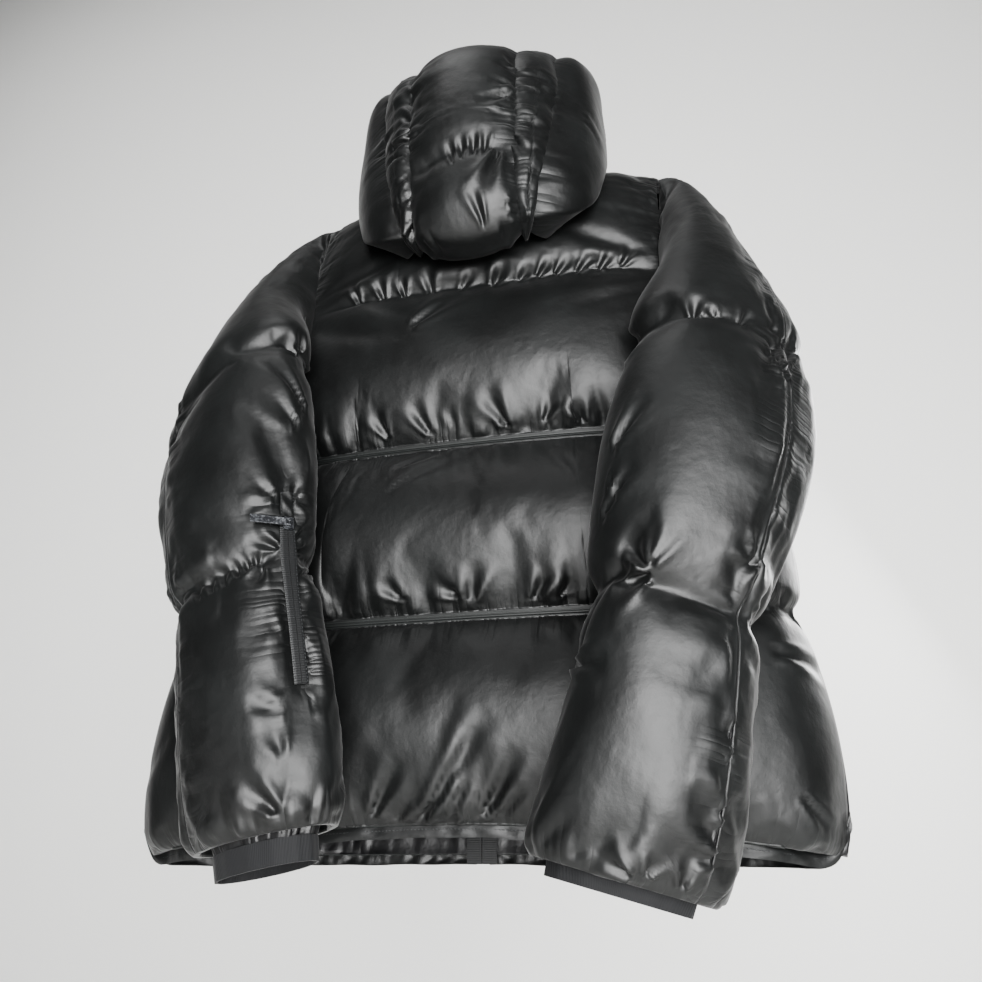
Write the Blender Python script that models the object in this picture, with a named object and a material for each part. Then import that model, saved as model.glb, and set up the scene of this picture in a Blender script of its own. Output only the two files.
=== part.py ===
"""Hooded puffer jacket, filled out with no wearer, hanging.

Metres, +Z up. The wearer would face -Y, and the wearer's left is +X. The origin is the middle of
the neck opening at the height of the back neck seam, where the wearer's shoulders carry the jacket.
Every cloth piece is one padded wall: a plain inner grid of points, and an outer grid raised from it
by the filling, with a valley along each quilting seam.
"""

import math

import bmesh
import bpy
import mathutils
import numpy as np

# ------------------------------------------------------------------ driving sizes
GAP = 0.0003            # between pieces that are sewn together
CLEAR = 0.0030          # between the body and what lies on it
HOOD_CLEAR = 0.012
WALL = 0.0045           # wall at a quilting seam
ARM_EDGE = 0.009        # wall at the armhole seam
NECK_EDGE = 0.013       # wall at the neck seam
TAPE = 0.009            # flat taped strip under each quilting seam
ARM_OFF = 8 * GAP       # between the armhole and the sleeve's inner edge
ARM_OUT = 5 * GAP       # sleeve's outer edge stands this far out from the armhole's
NECK_OFF = 7 * GAP      # between the neck seam and the hood and collar
BODY_FILL = 0.030       # fullest wall of the body baffles
YOKE_FILL = 0.026
SLEEVE_FILL = 0.017
HOOD_FILL = 0.028
STRIP_FILL = 0.016      # gathered strips of the hood
COLLAR_FILL = 0.009
SIDE_FILL = 0.62        # share of the filling left at the side seams
SIDE_FADE = 0.090       # width over which the filling thins to a side seam
ARM_FADE = 0.060        # and to an armhole
FRONT_FADE = 0.055      # and to the front edges
NECK_FADE = 0.3         # share of the yoke that thins to the neck seam
INNER_FLAT = 0.6        # share of the filling that is missing where a sleeve lies on the body
CROOK_FLAT = 0.8        # and in the crook under the arm
CROOK_HALF = 25.0       # degrees round the sleeve that the crook takes, each way
GATHER = 0.0042         # height of the gathers beside a quilting seam

SEAM_HEIGHTS = (-0.515, -0.330, -0.140)
ARMPIT = -0.235
SHOULDER_TIP = 0.030
NECK_SIDE = 0.055
NECK_HALF_WIDTH = 0.088
BACK_NECK_DEPTH = 0.046
FRONT_NECK_DEPTH = 0.055
FRONT_OPENING = 0.0045  # half the space between the front edges, for the zip
BACK_HEM = -0.698       # height of the hem at the middle of the back, the front and the sides
FRONT_HEM = -0.720
SIDE_HEM = -0.722
LEAN = -0.026           # the shoulders and hood have slid towards the wearer's right
LEAN_FROM = -0.480

# height, half width, half depth at the back, half depth at the front
BODY = (
    (-0.725, 0.312, 0.062, 0.062),
    (-0.610, 0.311, 0.060, 0.062),
    (-0.450, 0.300, 0.059, 0.062),
    (-0.330, 0.280, 0.058, 0.062),
    (-0.235, 0.250, 0.057, 0.062),
    (-0.180, 0.226, 0.056, 0.062),
    (-0.120, 0.210, 0.055, 0.060),
    (-0.040, 0.204, 0.054, 0.058),
    (0.055, 0.210, 0.052, 0.056),
)
FULLNESS = 2.5          # exponent of the body's rounded section
NECK_ROUND = 2.6        # exponent of its rounded plan over the shoulders
ARM_DEPTH = 0.92        # depth at the side over the armpit, as a share of the middle's
ARM_RISE = 0.115        # height over which the sides reach that depth

# along the arm from the upper seam, centre x, y, z, half width, half depth, turn, slope, roll
LEFT_SLEEVE = (
    (0.000, 0.222, 0.122, -0.300, 0.092, 0.036, 20.0, 35.0, 52.0),
    (0.105, 0.197, 0.138, -0.395, 0.072, 0.037, 14.0, 25.0, 50.0),
    (0.220, 0.171, 0.148, -0.508, 0.060, 0.036, 10.0, 24.0, 48.0),
    (0.320, 0.143, 0.150, -0.610, 0.055, 0.034, 10.0, 16.0, 46.0),
    (0.430, 0.124, 0.146, -0.712, 0.058, 0.032, 12.0, 11.0, 44.0),
    (0.480, 0.116, 0.144, -0.760, 0.058, 0.032, 12.0, 11.0, 44.0),
)
RIGHT_SLEEVE = (
    (0.000, 0.262, 0.116, -0.298, 0.077, 0.036, 22.0, 6.0, 52.0),
    (0.110, 0.244, 0.132, -0.392, 0.079, 0.037, 14.0, 8.0, 50.0),
    (0.270, 0.200, 0.144, -0.545, 0.063, 0.036, 10.0, 14.0, 48.0),
    (0.370, 0.178, 0.148, -0.640, 0.056, 0.034, 10.0, 15.0, 46.0),
    (0.480, 0.146, 0.144, -0.738, 0.061, 0.032, 12.0, 15.0, 44.0),
    (0.530, 0.131, 0.140, -0.786, 0.061, 0.032, 12.0, 15.0, 44.0),
)
LEFT_SEAMS = (0.0, 0.220, 0.430)
RIGHT_SEAMS = (0.0, 0.270, 0.480)

UNDERARM = 0.048        # the sleeve's head goes this far round the body's side
# angle round the armhole, direction and reach in which the sleeve leaves it
SLEEVE_HEAD = (
    (0.0, 0.120, 0.020, -0.030),
    (90.0, 0.060, 0.070, -0.040),
    (180.0, 0.060, 0.040, -0.040),
    (270.0, 0.130, 0.000, -0.060),
    (360.0, 0.120, 0.020, -0.030),
)

# share of the way from the neck seam to the rim, then distance from the neck axis and height at
# the middle of the back, at 50 and 78 degrees round from it, and at the front end of the hood
HOOD = (
    (0.00, 0.050, 0.012, 0.070, 0.040, 0.086, 0.060, 0.074, 0.010),
    (0.07, 0.066, 0.026, 0.080, 0.066, 0.092, 0.090, 0.080, 0.030),
    (0.17, 0.094, 0.004, 0.106, 0.054, 0.106, 0.100, 0.087, 0.042),
    (0.27, 0.106, -0.062, 0.128, -0.002, 0.114, 0.100, 0.092, 0.052),
    (0.36, 0.130, -0.114, 0.142, -0.056, 0.120, 0.094, 0.096, 0.060),
    (0.50, 0.160, -0.052, 0.151, -0.022, 0.122, 0.106, 0.101, 0.074),
    (0.66, 0.164, 0.046, 0.150, 0.058, 0.121, 0.136, 0.102, 0.092),
    (0.83, 0.136, 0.136, 0.142, 0.150, 0.119, 0.178, 0.099, 0.112),
    (1.00, 0.036, 0.196, 0.072, 0.208, 0.098, 0.214, 0.094, 0.136),
)
HOOD_QUARTER = 50.0
HOOD_SIDE = 78.0
HOOD_END = 136.0        # angle round the neck, from the back, at which the hood ends
HOOD_SEAM = 0.60        # quilting seam across the middle piece, as a share of the way
HOOD_MIDDLE = 0.057     # half width of the middle piece
# share of the way, width of the gathered strip beside the middle piece
HOOD_STRIP = ((0.0, 0.006), (0.36, 0.008), (0.66, 0.034), (1.0, 0.044))

# share of the height, then distance from the neck axis and height at the back, side and front
COLLAR = (
    (0.0, 0.048, 0.006, 0.068, 0.034, 0.088, 0.062, 0.055, -0.070),
    (0.5, 0.051, 0.042, 0.058, 0.068, 0.068, 0.098, 0.060, -0.010),
    (1.0, 0.056, 0.076, 0.066, 0.100, 0.080, 0.130, 0.067, 0.024),
)
COLLAR_END = 180.0

LEFT_CUFF = 0.80        # cuff band's share of the sleeve's hem
RIGHT_CUFF = 0.88
CUFF_WALL = 0.0022
STORM_SHARE = 0.986     # inner cuff's top edge, of the sleeve's plain inside
LEFT_SHOWN = 0.022      # cuff band below the sleeve's hem
RIGHT_SHOWN = 0.010
CUFF_BACKSET = 0.006    # the band starts this far above the hem
STORM_TOP = 0.040       # gathered inner cuff reaches this far up inside the sleeve
STORM_WAIST = 0.020     # and is half drawn in at this height over the hem
PLEAT = 0.0011          # half the height of its pleats
PLEAT_TURN = 2.4        # radians from one point to the next
PLAIN_TOP = 0.97        # no pleats on rings wider than this share
CUFF_GAP = 0.0005       # between it and the band
CUFF_TAPER = 0.02       # share by which the band narrows

ZIP_COLUMN = 8          # column of the left sleeve that carries its zip
ZIP_LIFT = 0.0004       # sleeve's zip over the cloth
FRONT_LIFT = 2 * ZIP_LIFT   # front zip inside the fronts
NECK_LIFT = 5 * ZIP_LIFT    # and inside the collar
ZIP_TAPE = 0.0016
ZIP_HALF_WIDTH = 0.015
ZIP_BEAD = 0.0036       # teeth, half the closed row
ZIP_DIP = 0.009         # wall under the sleeve's zip, where the filling is pulled flat
ZIP_TOP = 0.190         # along the left arm
ZIP_END = 0.325
GARAGE_TOP = 0.168
GARAGE_WALL = 1.4 * ZIP_TAPE
SLIDER = (0.0088, 0.0120, 0.0034)
ARCH = 0.0021           # radius of the slider's bridge, and of its wire
ARCH_WIRE = 0.0007
PIVOT_HEIGHT = 0.0014   # pull's hinge line over the slider's face
PULL_LENGTH = 0.034
PULL_HALF_WIDTH = 0.0036
PULL_WALL = 0.0014
PULL_TILT = -0.08       # the sleeve's pull leans on the cloth
PULL_EYE = 0.0034       # the eye's far edge from the hinge line

CLOTH = (0.012, 0.013, 0.013)
KNIT = (0.010, 0.010, 0.011)
BAND = (0.016, 0.017, 0.018)
METAL = (0.10, 0.10, 0.11)


# ------------------------------------------------------------------ small helpers
def table(rows, at):
    """Smooth values at the positions `at` of a table whose first column is the position."""
    data = np.array(rows, dtype=float)
    position, value = data[:, 0], data[:, 1:]
    slope = np.gradient(value, position, axis=0)
    at = np.clip(np.asarray(at, dtype=float), position[0], position[-1])
    k = np.clip(np.searchsorted(position, at, side="right") - 1, 0, len(position) - 2)
    span = (position[k + 1] - position[k])[..., None]
    u = (at - position[k])[..., None] / span
    return hermite(value[k], slope[k] * span, value[k + 1], slope[k + 1] * span, u)


def hermite(start, leave, end, arrive, u):
    """A curve from `start` to `end` with the given directions at both ends."""
    first = (1 + 2 * u) * (1 - u) ** 2 * start + u * (1 - u) ** 2 * leave
    return first + u * u * (3 - 2 * u) * end + u * u * (u - 1) * arrive


def ease(t):
    """0 to 1, level at both ends."""
    t = np.clip(t, 0.0, 1.0)
    return t * t * (3 - 2 * t)


def unit(vectors):
    return vectors / np.maximum(np.linalg.norm(vectors, axis=-1, keepdims=True), 1e-12)


def normals(grid, around=False):
    """Unit normals of a grid of points, from the points on either side of each."""
    down = np.gradient(grid, axis=0)
    if around:
        across = (np.roll(grid, -1, axis=1) - np.roll(grid, 1, axis=1)) / 2
    else:
        across = np.gradient(grid, axis=1)
    return unit(np.cross(across, down))


def lean(grid):
    """Slides the shoulders and all above them sideways."""
    moved = grid.copy()
    moved[..., 0] += LEAN * ease((grid[..., 2] - LEAN_FROM) / -LEAN_FROM)
    return moved


def every(count, step):
    """Numbers of the rows or columns that the plain inside keeps, both ends included."""
    return list(range(0, count - 1, step)) + [count - 1]


# ------------------------------------------------------------------ filling
def uneven(x, turn):
    """Uneven gathers along a seam, from -1 to 1."""
    slow = np.sin(2 * np.pi * x / 0.088 + turn)
    quick = np.sin(2 * np.pi * x / 0.053 + 2.3 * turn)
    return 0.55 * slow + 0.45 * quick


def baffle(share, full, length):
    """Wall of one baffle at a share of the way from its lower seam: rolled over that seam,
    fullest below the middle, and flat in the taped strip at the top."""
    inside = np.clip(share / (1 - TAPE / length), 0.0, 1.0)
    return WALL + (full - WALL) * np.sin(np.pi * inside ** 0.82) ** 0.5


def gathers(share, length, x, turn):
    """Gathers that rise from both seams of a baffle and die out in its middle."""
    low = share * length
    high = (1 - share) * length - TAPE
    near = np.exp(-low / 0.035) * np.minimum(low / 0.010, 1.0)
    far = 0.6 * np.exp(-np.abs(high) / 0.030) * np.clip(high / 0.010, 0.0, 1.0)
    return GATHER * (near * uneven(x + 0.4 * low, turn) + far * uneven(x, turn + 1.9))


# ------------------------------------------------------------------ solids
def finish(name, verts, faces, colour=CLOTH, rough=0.38, metal=0.0):
    """One closed object from its points and faces, turned the right way out."""
    mesh = bpy.data.meshes.new(name)
    mesh.from_pydata([tuple(v) for v in verts], [], faces)
    work = bmesh.new()
    work.from_mesh(mesh)
    bmesh.ops.recalc_face_normals(work, faces=work.faces)
    if work.calc_volume(signed=True) < 0:
        bmesh.ops.reverse_faces(work, faces=work.faces)
    work.to_mesh(mesh)
    work.free()
    part = bpy.data.objects.new(name, mesh)
    bpy.data.collections["puffer_jacket"].objects.link(part)
    mesh.materials.append(material(name, colour, rough, metal))
    return part


def material(name, colour, rough, metal):
    made = bpy.data.materials.new(name)
    made.use_nodes = True
    shader = made.node_tree.nodes["Principled BSDF"]
    shader.inputs["Base Color"].default_value = (*colour, 1.0)
    shader.inputs["Roughness"].default_value = rough
    shader.inputs["Metallic"].default_value = metal
    return made


def zip_side(fine, coarse, picks):
    """Triangles between a row of points and every picked one of its opposite row."""
    faces = []
    for k in range(len(picks) - 1):
        first, last = picks[k], picks[k + 1]
        middle = (first + last) // 2
        for i in range(first, middle):
            faces.append((fine[i], fine[i + 1], coarse[k]))
        faces.append((coarse[k], fine[middle], coarse[k + 1]))
        for i in range(middle, last):
            faces.append((fine[i], fine[i + 1], coarse[k + 1]))
    return faces


def quads(index, around=False):
    """Faces of a grid of point numbers."""
    rows, columns = index.shape
    faces = []
    for i in range(rows - 1):
        for j in range(columns if around else columns - 1):
            k = (j + 1) % columns
            faces.append((index[i, j], index[i, k], index[i + 1, k], index[i + 1, j]))
    return faces


def wall(name, outer, inner, row_picks, column_picks, colour=CLOTH, around=False):
    """A padded wall: the outer grid, a coarser inner grid through the picked rows and columns,
    and the edges between them."""
    rows, columns = outer.shape[:2]
    thin = inner[np.ix_(row_picks, column_picks)]
    out_index = np.arange(rows * columns).reshape(rows, columns)
    in_index = rows * columns + np.arange(thin.shape[0] * thin.shape[1]).reshape(thin.shape[:2])
    faces = quads(out_index, around) + [face[::-1] for face in quads(in_index, around)]
    if around:
        loop = list(column_picks) + [columns]
        for end in (0, -1):
            fine = list(out_index[end]) + [out_index[end][0]]
            coarse = list(in_index[end]) + [in_index[end][0]]
            faces += zip_side(fine, coarse, loop)
    else:
        for end in (0, -1):
            faces += zip_side(list(out_index[end]), list(in_index[end]), column_picks)
            faces += zip_side(list(out_index[:, end]), list(in_index[:, end]), row_picks)
    verts = np.concatenate([outer.reshape(-1, 3), thin.reshape(-1, 3)])
    return finish(name, verts, faces, colour)


def draw_in(grid):
    """Moves a piece's side edges in by half a gap."""
    piece = grid.copy()
    piece[:, 0] += unit(piece[:, 1] - piece[:, 0]) * GAP / 2
    piece[:, -1] += unit(piece[:, -2] - piece[:, -1]) * GAP / 2
    return piece


# ------------------------------------------------------------------ body
HEM_SHARES = (0.0, 0.045, 0.10, 0.21, 0.36, 0.54, 0.72, 0.88)
WAIST_SHARES = (0.0, 0.05, 0.13, 0.28, 0.46, 0.64, 0.82)
CHEST_SHARES = (0.0, 0.05, 0.15, 0.32, 0.50, 0.66, 0.84)
YOKE_SHARES = (0.0, 0.06, 0.15, 0.27, 0.40, 0.53, 0.65, 0.76, 0.86, 0.94, 1.0)
BAFFLE_LENGTHS = (0.195, 0.185, 0.190, 0.195)
NECK_TURNS = (0, 15, 30, 45, 58, 70, 80, 90)
ARM_COLUMNS = 8


def body_rows():
    """One entry for each row of the body: baffle number from the hem, and share of the way up."""
    rows = []
    for number, shares in enumerate((HEM_SHARES, WAIST_SHARES, CHEST_SHARES, YOKE_SHARES)):
        rows += [(number, share) for share in shares]
        if number < 3:
            rows.append((number, 1 - TAPE / BAFFLE_LENGTHS[number]))
    return rows


def half_columns():
    """Places across half the body, as shares: close together round the neck."""
    neck = NECK_HALF_WIDTH / table(BODY, SHOULDER_TIP)[0]
    places = [neck * math.sin(math.radians(turn)) for turn in NECK_TURNS]
    return np.array(places + list(np.linspace(neck, 1.0, ARM_COLUMNS + 1)[1:]))


ROWS = body_rows()
ARMPIT_ROW = ROWS.index((2, 0.50))
INNER_ROWS = [0, 2, 4, 6, 8, 9, 12, 14, 16, 17, 19, ARMPIT_ROW]
INNER_ROWS += list(range(ARMPIT_ROW + 2, len(ROWS), 2))
HALF = half_columns()


def neck_height(x, side):
    """Height of the neck seam over a place across the body, from its rounded plan."""
    depth = BACK_NECK_DEPTH if side > 0 else FRONT_NECK_DEPTH
    half = table(BODY, SEAM_HEIGHTS[2])[1 if side > 0 else 2]
    over = np.clip(1 - (x / NECK_HALF_WIDTH) ** 2, 0.0, 1.0)
    share = (1 - over * (depth / half) ** 2) ** (1 / NECK_ROUND)
    return SEAM_HEIGHTS[2] + (NECK_SIDE - SEAM_HEIGHTS[2]) * share


def shoulder_height(x):
    """Height of the shoulder seam, level over the neck and falling to the shoulder tip."""
    tip = table(BODY, SHOULDER_TIP)[0]
    away = np.clip((x - NECK_HALF_WIDTH) / (tip - NECK_HALF_WIDTH), 0.0, 1.0)
    return NECK_SIDE + (SHOULDER_TIP - NECK_SIDE) * away


def row_height(number, share, x, half_width, side):
    """Height of a row of the body over places across it."""
    low = np.full_like(x, SEAM_HEIGHTS[number - 1])
    if number == 0:
        level = BACK_HEM if side > 0 else FRONT_HEM
        low = level + (SIDE_HEM - level) * (x / half_width) ** 2
    if number < 3:
        return low + (SEAM_HEIGHTS[number] - low) * share
    top = np.where(x < NECK_HALF_WIDTH, neck_height(x, side), shoulder_height(x))
    return low + (top - low) * share


def body_inside(columns, side):
    """Plain inside of the back (side +1) or of both fronts (side -1), as rows by columns."""
    grid = np.zeros((len(ROWS), len(columns), 3))
    for i, (number, share) in enumerate(ROWS):
        level = row_height(number, share, np.array([0.21]), 0.21, side)[0]
        half_width = table(BODY, level)[0]
        x = columns * half_width
        z = row_height(number, share, np.abs(x), half_width, side)
        half_depth = table(BODY, z)[:, 1 if side > 0 else 2]
        up = np.clip((level - ARMPIT) / ARM_RISE, 0.0, 1.0)
        edge = ARM_DEPTH * math.sqrt(1 - (1 - up) ** 2)
        across = (1 - np.abs(columns) ** FULLNESS) ** (1 / FULLNESS)
        depth = half_depth * (edge + (1 - edge) * across)
        if number == 3:
            rise = (z - SEAM_HEIGHTS[2]) / (shoulder_height(np.abs(x)) - SEAM_HEIGHTS[2])
            depth = depth * np.sqrt(np.clip(1 - rise ** NECK_ROUND, 0.0, 1.0))
        grid[i] = np.stack([x, side * depth, z], axis=1)
    return grid


def body_wall(inside, side):
    """Thickness of the body's wall over its plain inside."""
    thick = np.zeros(inside.shape[:2])
    for i, (number, share) in enumerate(ROWS):
        x = inside[i, :, 0]
        length = BAFFLE_LENGTHS[number]
        puffed = baffle(share, BODY_FILL, length)
        if number == 3:
            puffed = WALL + (YOKE_FILL - WALL) * math.sin(math.pi * min(share, 0.98) ** 0.8) ** 0.5
            puffed = max(puffed, WALL + (NECK_EDGE - WALL) * float(ease(share / NECK_FADE)))
        swell = gathers(share, length, x, 1.3 * number + 0.7 * side)
        edge = np.max(np.abs(x)) - np.abs(x)
        near_arm = np.clip((i - ARMPIT_ROW + 4) / 4, 0.0, 1.0)
        side_keep = SIDE_FILL + (1 - SIDE_FILL) * ease(edge / SIDE_FADE)
        keep = side_keep * (1 - near_arm) + ease(edge / ARM_FADE) * near_arm
        least = min(WALL + (ARM_EDGE - WALL) * near_arm, max(puffed, ARM_EDGE * near_arm))
        thick[i] = least + np.maximum(puffed + swell - least, 0.0) * keep
    thick[-1] = np.maximum(thick[-1], ARM_EDGE)
    return thick


def body_outside(inside, thick, side):
    """Outer points, square to the inside, level across the side and shoulder seams."""
    out = normals(inside)
    middle = out[ARMPIT_ROW // 2, inside.shape[1] // 2, 1]
    out *= side * (1 if middle > 0 else -1)
    for column in (0, -1):
        if abs(inside[2, column, 0]) > 0.1:
            out[:ARMPIT_ROW + 1, column, 1] = 0.0
    out[-1, np.abs(inside[-1, :, 1]) < 0.002, 1] = 0.0
    return inside + unit(out) * thick[..., None]


def straight_edge(row, picks):
    """An edge row whose skipped points lie on the straight lines between the picked ones."""
    return np.stack([np.interp(range(len(row)), picks, row[picks, k]) for k in range(3)], axis=1)


def shell_of(grids):
    """Points all over the body's outside and the way each faces."""
    places, facing = [], []
    for name, side in (("back", 1), ("left", -1), ("right", -1)):
        outside = grids[name][1]
        face = normals(outside)
        face *= side * np.sign(face[8, 8, 1])
        for grid, kept in ((outside, places), (face, facing)):
            fine = np.repeat(np.repeat(grid, 2, axis=0), 2, axis=1)[:-1, :-1]
            fine[1::2] = (fine[:-1:2] + fine[2::2]) / 2
            fine[:, 1::2] = (fine[:, :-1:2] + fine[:, 2::2]) / 2
            kept.append(fine.reshape(-1, 3))
    return np.concatenate(places), unit(np.concatenate(facing))


def off_body(grid, shell, clear):
    """How far each point has to move to lie on the body's outside instead of in it."""
    places, facing = shell
    moved = grid.reshape(-1, 3).copy()
    for _ in range(3):
        apart = moved[:, None] - places
        near = np.argmin((apart ** 2).sum(axis=2), axis=1)
        apart = apart[range(len(moved)), near]
        deep = clear - (apart * facing[near]).sum(axis=1)
        aside = np.linalg.norm(apart + facing[near] * (deep - clear)[:, None], axis=1)
        push = np.where((deep > 0) & (deep < 0.07) & (aside < 0.018), deep, 0.0)
        moved += push[:, None] * facing[near]
    return moved.reshape(grid.shape) - grid


def own_side(grid, side):
    """Moves the points on the side and shoulder seams half a gap to the piece's own side."""
    moved = grid.copy()
    moved[..., 1] = np.where(side * moved[..., 1] < GAP / 2, side * GAP / 2, moved[..., 1])
    return moved


def armhole(back, front, end, sign):
    """Loops of points just off the armhole's inner and outer edge: from the shoulder tip down the
    back, and up the front."""
    rows = list(range(len(ROWS) - 1, ARMPIT_ROW - 1, -1))
    loops = []
    for k in (0, 1):
        down = [back[k][i, end] for i in rows]
        up = [front[k][i, -1] for i in reversed(rows)]
        loops.append(np.array(down + up[1:-1]))
        loops[k][[0, len(rows) - 1], 1] = 0.0
    along = np.roll(loops[0], -1, axis=0) - np.roll(loops[0], 1, axis=0)
    onward = unit(np.cross(along, loops[1] - loops[0]))
    onward *= np.sign(onward[:, 0].sum()) * sign
    return [loop + onward * ARM_OFF for loop in loops]


def neck_loop(back, left, right):
    """Neck edge points from the left front edge round the back to the right one, and the way
    that the wall runs there."""
    count = len(NECK_TURNS)
    middle = len(HALF) - 1
    loop = [(left[-1, k], left[-2, k]) for k in range(count)]
    loop += [(back[-1, k], back[-2, k]) for k in range(middle + count - 2, middle - count + 1, -1)]
    loop += [(right[-1, k], right[-2, k]) for k in range(count - 1, -1, -1)]
    points = np.array([edge for edge, inner in loop])
    onward = unit(np.array([edge - inner for edge, inner in loop]))
    return points, onward


def build_body():
    """Back and both fronts. Gives the grids that the other pieces are made from."""
    back_in = body_inside(np.concatenate([-HALF[:0:-1], HALF]), 1)
    back_out = lean(body_outside(back_in, body_wall(back_in, 1), 1))
    back_in = lean(back_in)
    picks = every(back_in.shape[1], 2)
    back_in[-1] = straight_edge(back_in[-1], picks)
    wall("back_panel", own_side(back_out, 1), own_side(back_in, 1), INNER_ROWS, picks)
    grids = {"back": (back_in, back_out)}
    for name, sign in (("left", 1), ("right", -1)):
        inside = body_inside(sign * HALF, -1)
        thick = body_wall(inside, -1)
        middle = 0.12 + 0.88 * ease(np.abs(inside[..., 0]) / FRONT_FADE)
        thick = np.minimum(thick, WALL + (thick - WALL) * middle)
        outside = body_outside(inside, thick, -1)
        opening = sign * FRONT_OPENING * (1 - HALF) ** 8
        inside[..., 0] += opening
        outside[..., 0] += opening
        inside, outside = lean(inside), lean(outside)
        picks = [0] + list(range(1, len(HALF), 2))
        inside[-1] = straight_edge(inside[-1], picks)
        wall("front_" + name, own_side(outside, -1), own_side(inside, -1), INNER_ROWS, picks)
        grids[name] = (inside, outside)
    return grids


# ------------------------------------------------------------------ sleeves
HEAD_LENGTH = 0.20      # sleeve's head, from the armhole to the upper seam
ARM_ROUND = 0.085       # radius that turns degrees into lengths for the gathers
HEAD_SHARES = (0.0, 0.08, 0.20, 0.34, 0.49, 0.64, 0.78, 0.90)
ARM_SHARES = (0.05, 0.14, 0.30, 0.50, 0.70, 0.88)


def sleeve_rows(seams):
    """Baffle number and place of each row of a sleeve: a share down the head, then along."""
    rows = [(0, share) for share in HEAD_SHARES]
    for number in (1, 2):
        start, end = seams[number - 1:number + 1]
        rows += [(number, start), (number, start + TAPE)]
        rows += [(number, end - share * (end - start)) for share in ARM_SHARES[::-1]]
    return rows + [(2, seams[2])]


def sleeve_ring(rings, along, angles, sign):
    """Points of one ring of the plain inside of a sleeve."""
    x, y, z, half_width, half_depth, turn, slope, roll = table(rings, along)
    turn, slope = math.radians(turn), math.radians(slope)
    wide = np.array([math.cos(turn) * math.cos(slope), -math.sin(turn) * math.cos(slope),
                     -math.sin(slope)])
    deep = np.array([math.sin(turn), math.cos(turn), 0.0])
    around = np.radians(angles + roll)
    points = np.array([x, y, z]) + half_width * np.cos(around)[:, None] * wide
    points = points + half_depth * np.sin(around)[:, None] * deep
    return points * np.array([sign, 1.0, 1.0])


def sleeve_inside(rings, rows, loop, angles, sign):
    """Plain inside of a sleeve: the head swings from the armhole to the upper seam, and rings
    follow the arm from there."""
    leave = table(SLEEVE_HEAD, angles) * np.array([sign, 1.0, 1.0])
    upper = sleeve_ring(rings, 0.0, angles, sign)
    onward = np.array([0.0, 0.02, -0.12])
    beside = np.exp(-((angles - 222.0) / 34.0) ** 2)
    grid = []
    for number, place in rows:
        if number == 0:
            ring = hermite(loop, leave, upper, onward, place)
            ring[:, 0] += sign * UNDERARM * math.sin(math.pi * place) * beside
            grid.append(ring)
        else:
            grid.append(sleeve_ring(rings, place, angles, sign))
    return np.array(grid)


def sleeve_wall(rows, seams, angles, turn):
    """Thickness of a sleeve's wall over its plain inside."""
    thick = np.zeros((len(rows), len(angles)))
    around = np.radians(angles) * ARM_ROUND
    for i, (number, place) in enumerate(rows):
        if number == 0:
            length, share = HEAD_LENGTH, 1 - place
        else:
            length = seams[number] - seams[number - 1]
            share = (seams[number] - place) / length
        puffed = baffle(share, SLEEVE_FILL, length)
        if number == 0:
            puffed = max(puffed, ARM_EDGE + (WALL - ARM_EDGE) * float(ease(place / 0.5)))
        swell = gathers(share, length, around, turn + number)
        thick[i] = np.maximum(puffed + swell, WALL)
    return thick


def zip_rows(rows):
    """Rows of the left sleeve beside its zip: where the garage, the tape and its end lie."""
    places = [place if number else -1.0 for number, place in rows]
    return [int(np.argmin([abs(place - at) for place in places]))
            for at in (GARAGE_TOP, ZIP_TOP, ZIP_END)]


def build_sleeve(name, sign, rings, seams, grids, shell):
    """Back and front halves of one sleeve, and its outer and inner grids."""
    rows = sleeve_rows(seams)
    end = -1 if sign > 0 else 0
    loops = armhole(grids["back"], grids[name], end, sign)
    angles = 360.0 * np.arange(len(loops[0])) / len(loops[0])
    inside = sleeve_inside(rings, rows, loops[0], angles, sign)
    thick = sleeve_wall(rows, seams, angles, 1.0 + sign)
    if name == "left":
        first, top, last = zip_rows(rows)
        for column in (ZIP_COLUMN, ZIP_COLUMN + 1):
            thick[first - 1:last + 1, column] = ZIP_DIP
    facing = normals(inside, around=True) * -sign
    inward = np.clip(-facing[..., 1] * 1.4, 0.0, 1.0)
    thick = thick - (thick - WALL) * inward * INNER_FLAT
    crook = np.exp(-((angles - 180.0) / CROOK_HALF) ** 2)
    head = slice(0, len(HEAD_SHARES))
    thick[head] = thick[head] - (thick[head] - WALL) * crook * CROOK_FLAT
    outside = inside + facing * thick[..., None]
    push = off_body(outside[1:], shell, CLEAR)
    inside[1:] += push
    outside[1:] += push
    outside[0] = loops[1] + unit(loops[1] - loops[0]) * ARM_OUT
    half = len(angles) // 2
    picks = sorted(set(every(len(rows), 2)) | {1, len(HEAD_SHARES), len(HEAD_SHARES) + 1})
    for part, start in (("back", 0), ("front", half)):
        columns = [(start + k) % len(angles) for k in range(half + 1)]
        wall(f"sleeve_{name}_{part}", draw_in(outside[:, columns]), draw_in(inside[:, columns]),
             picks, every(half + 1, 2))
    return rows, inside, outside


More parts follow.
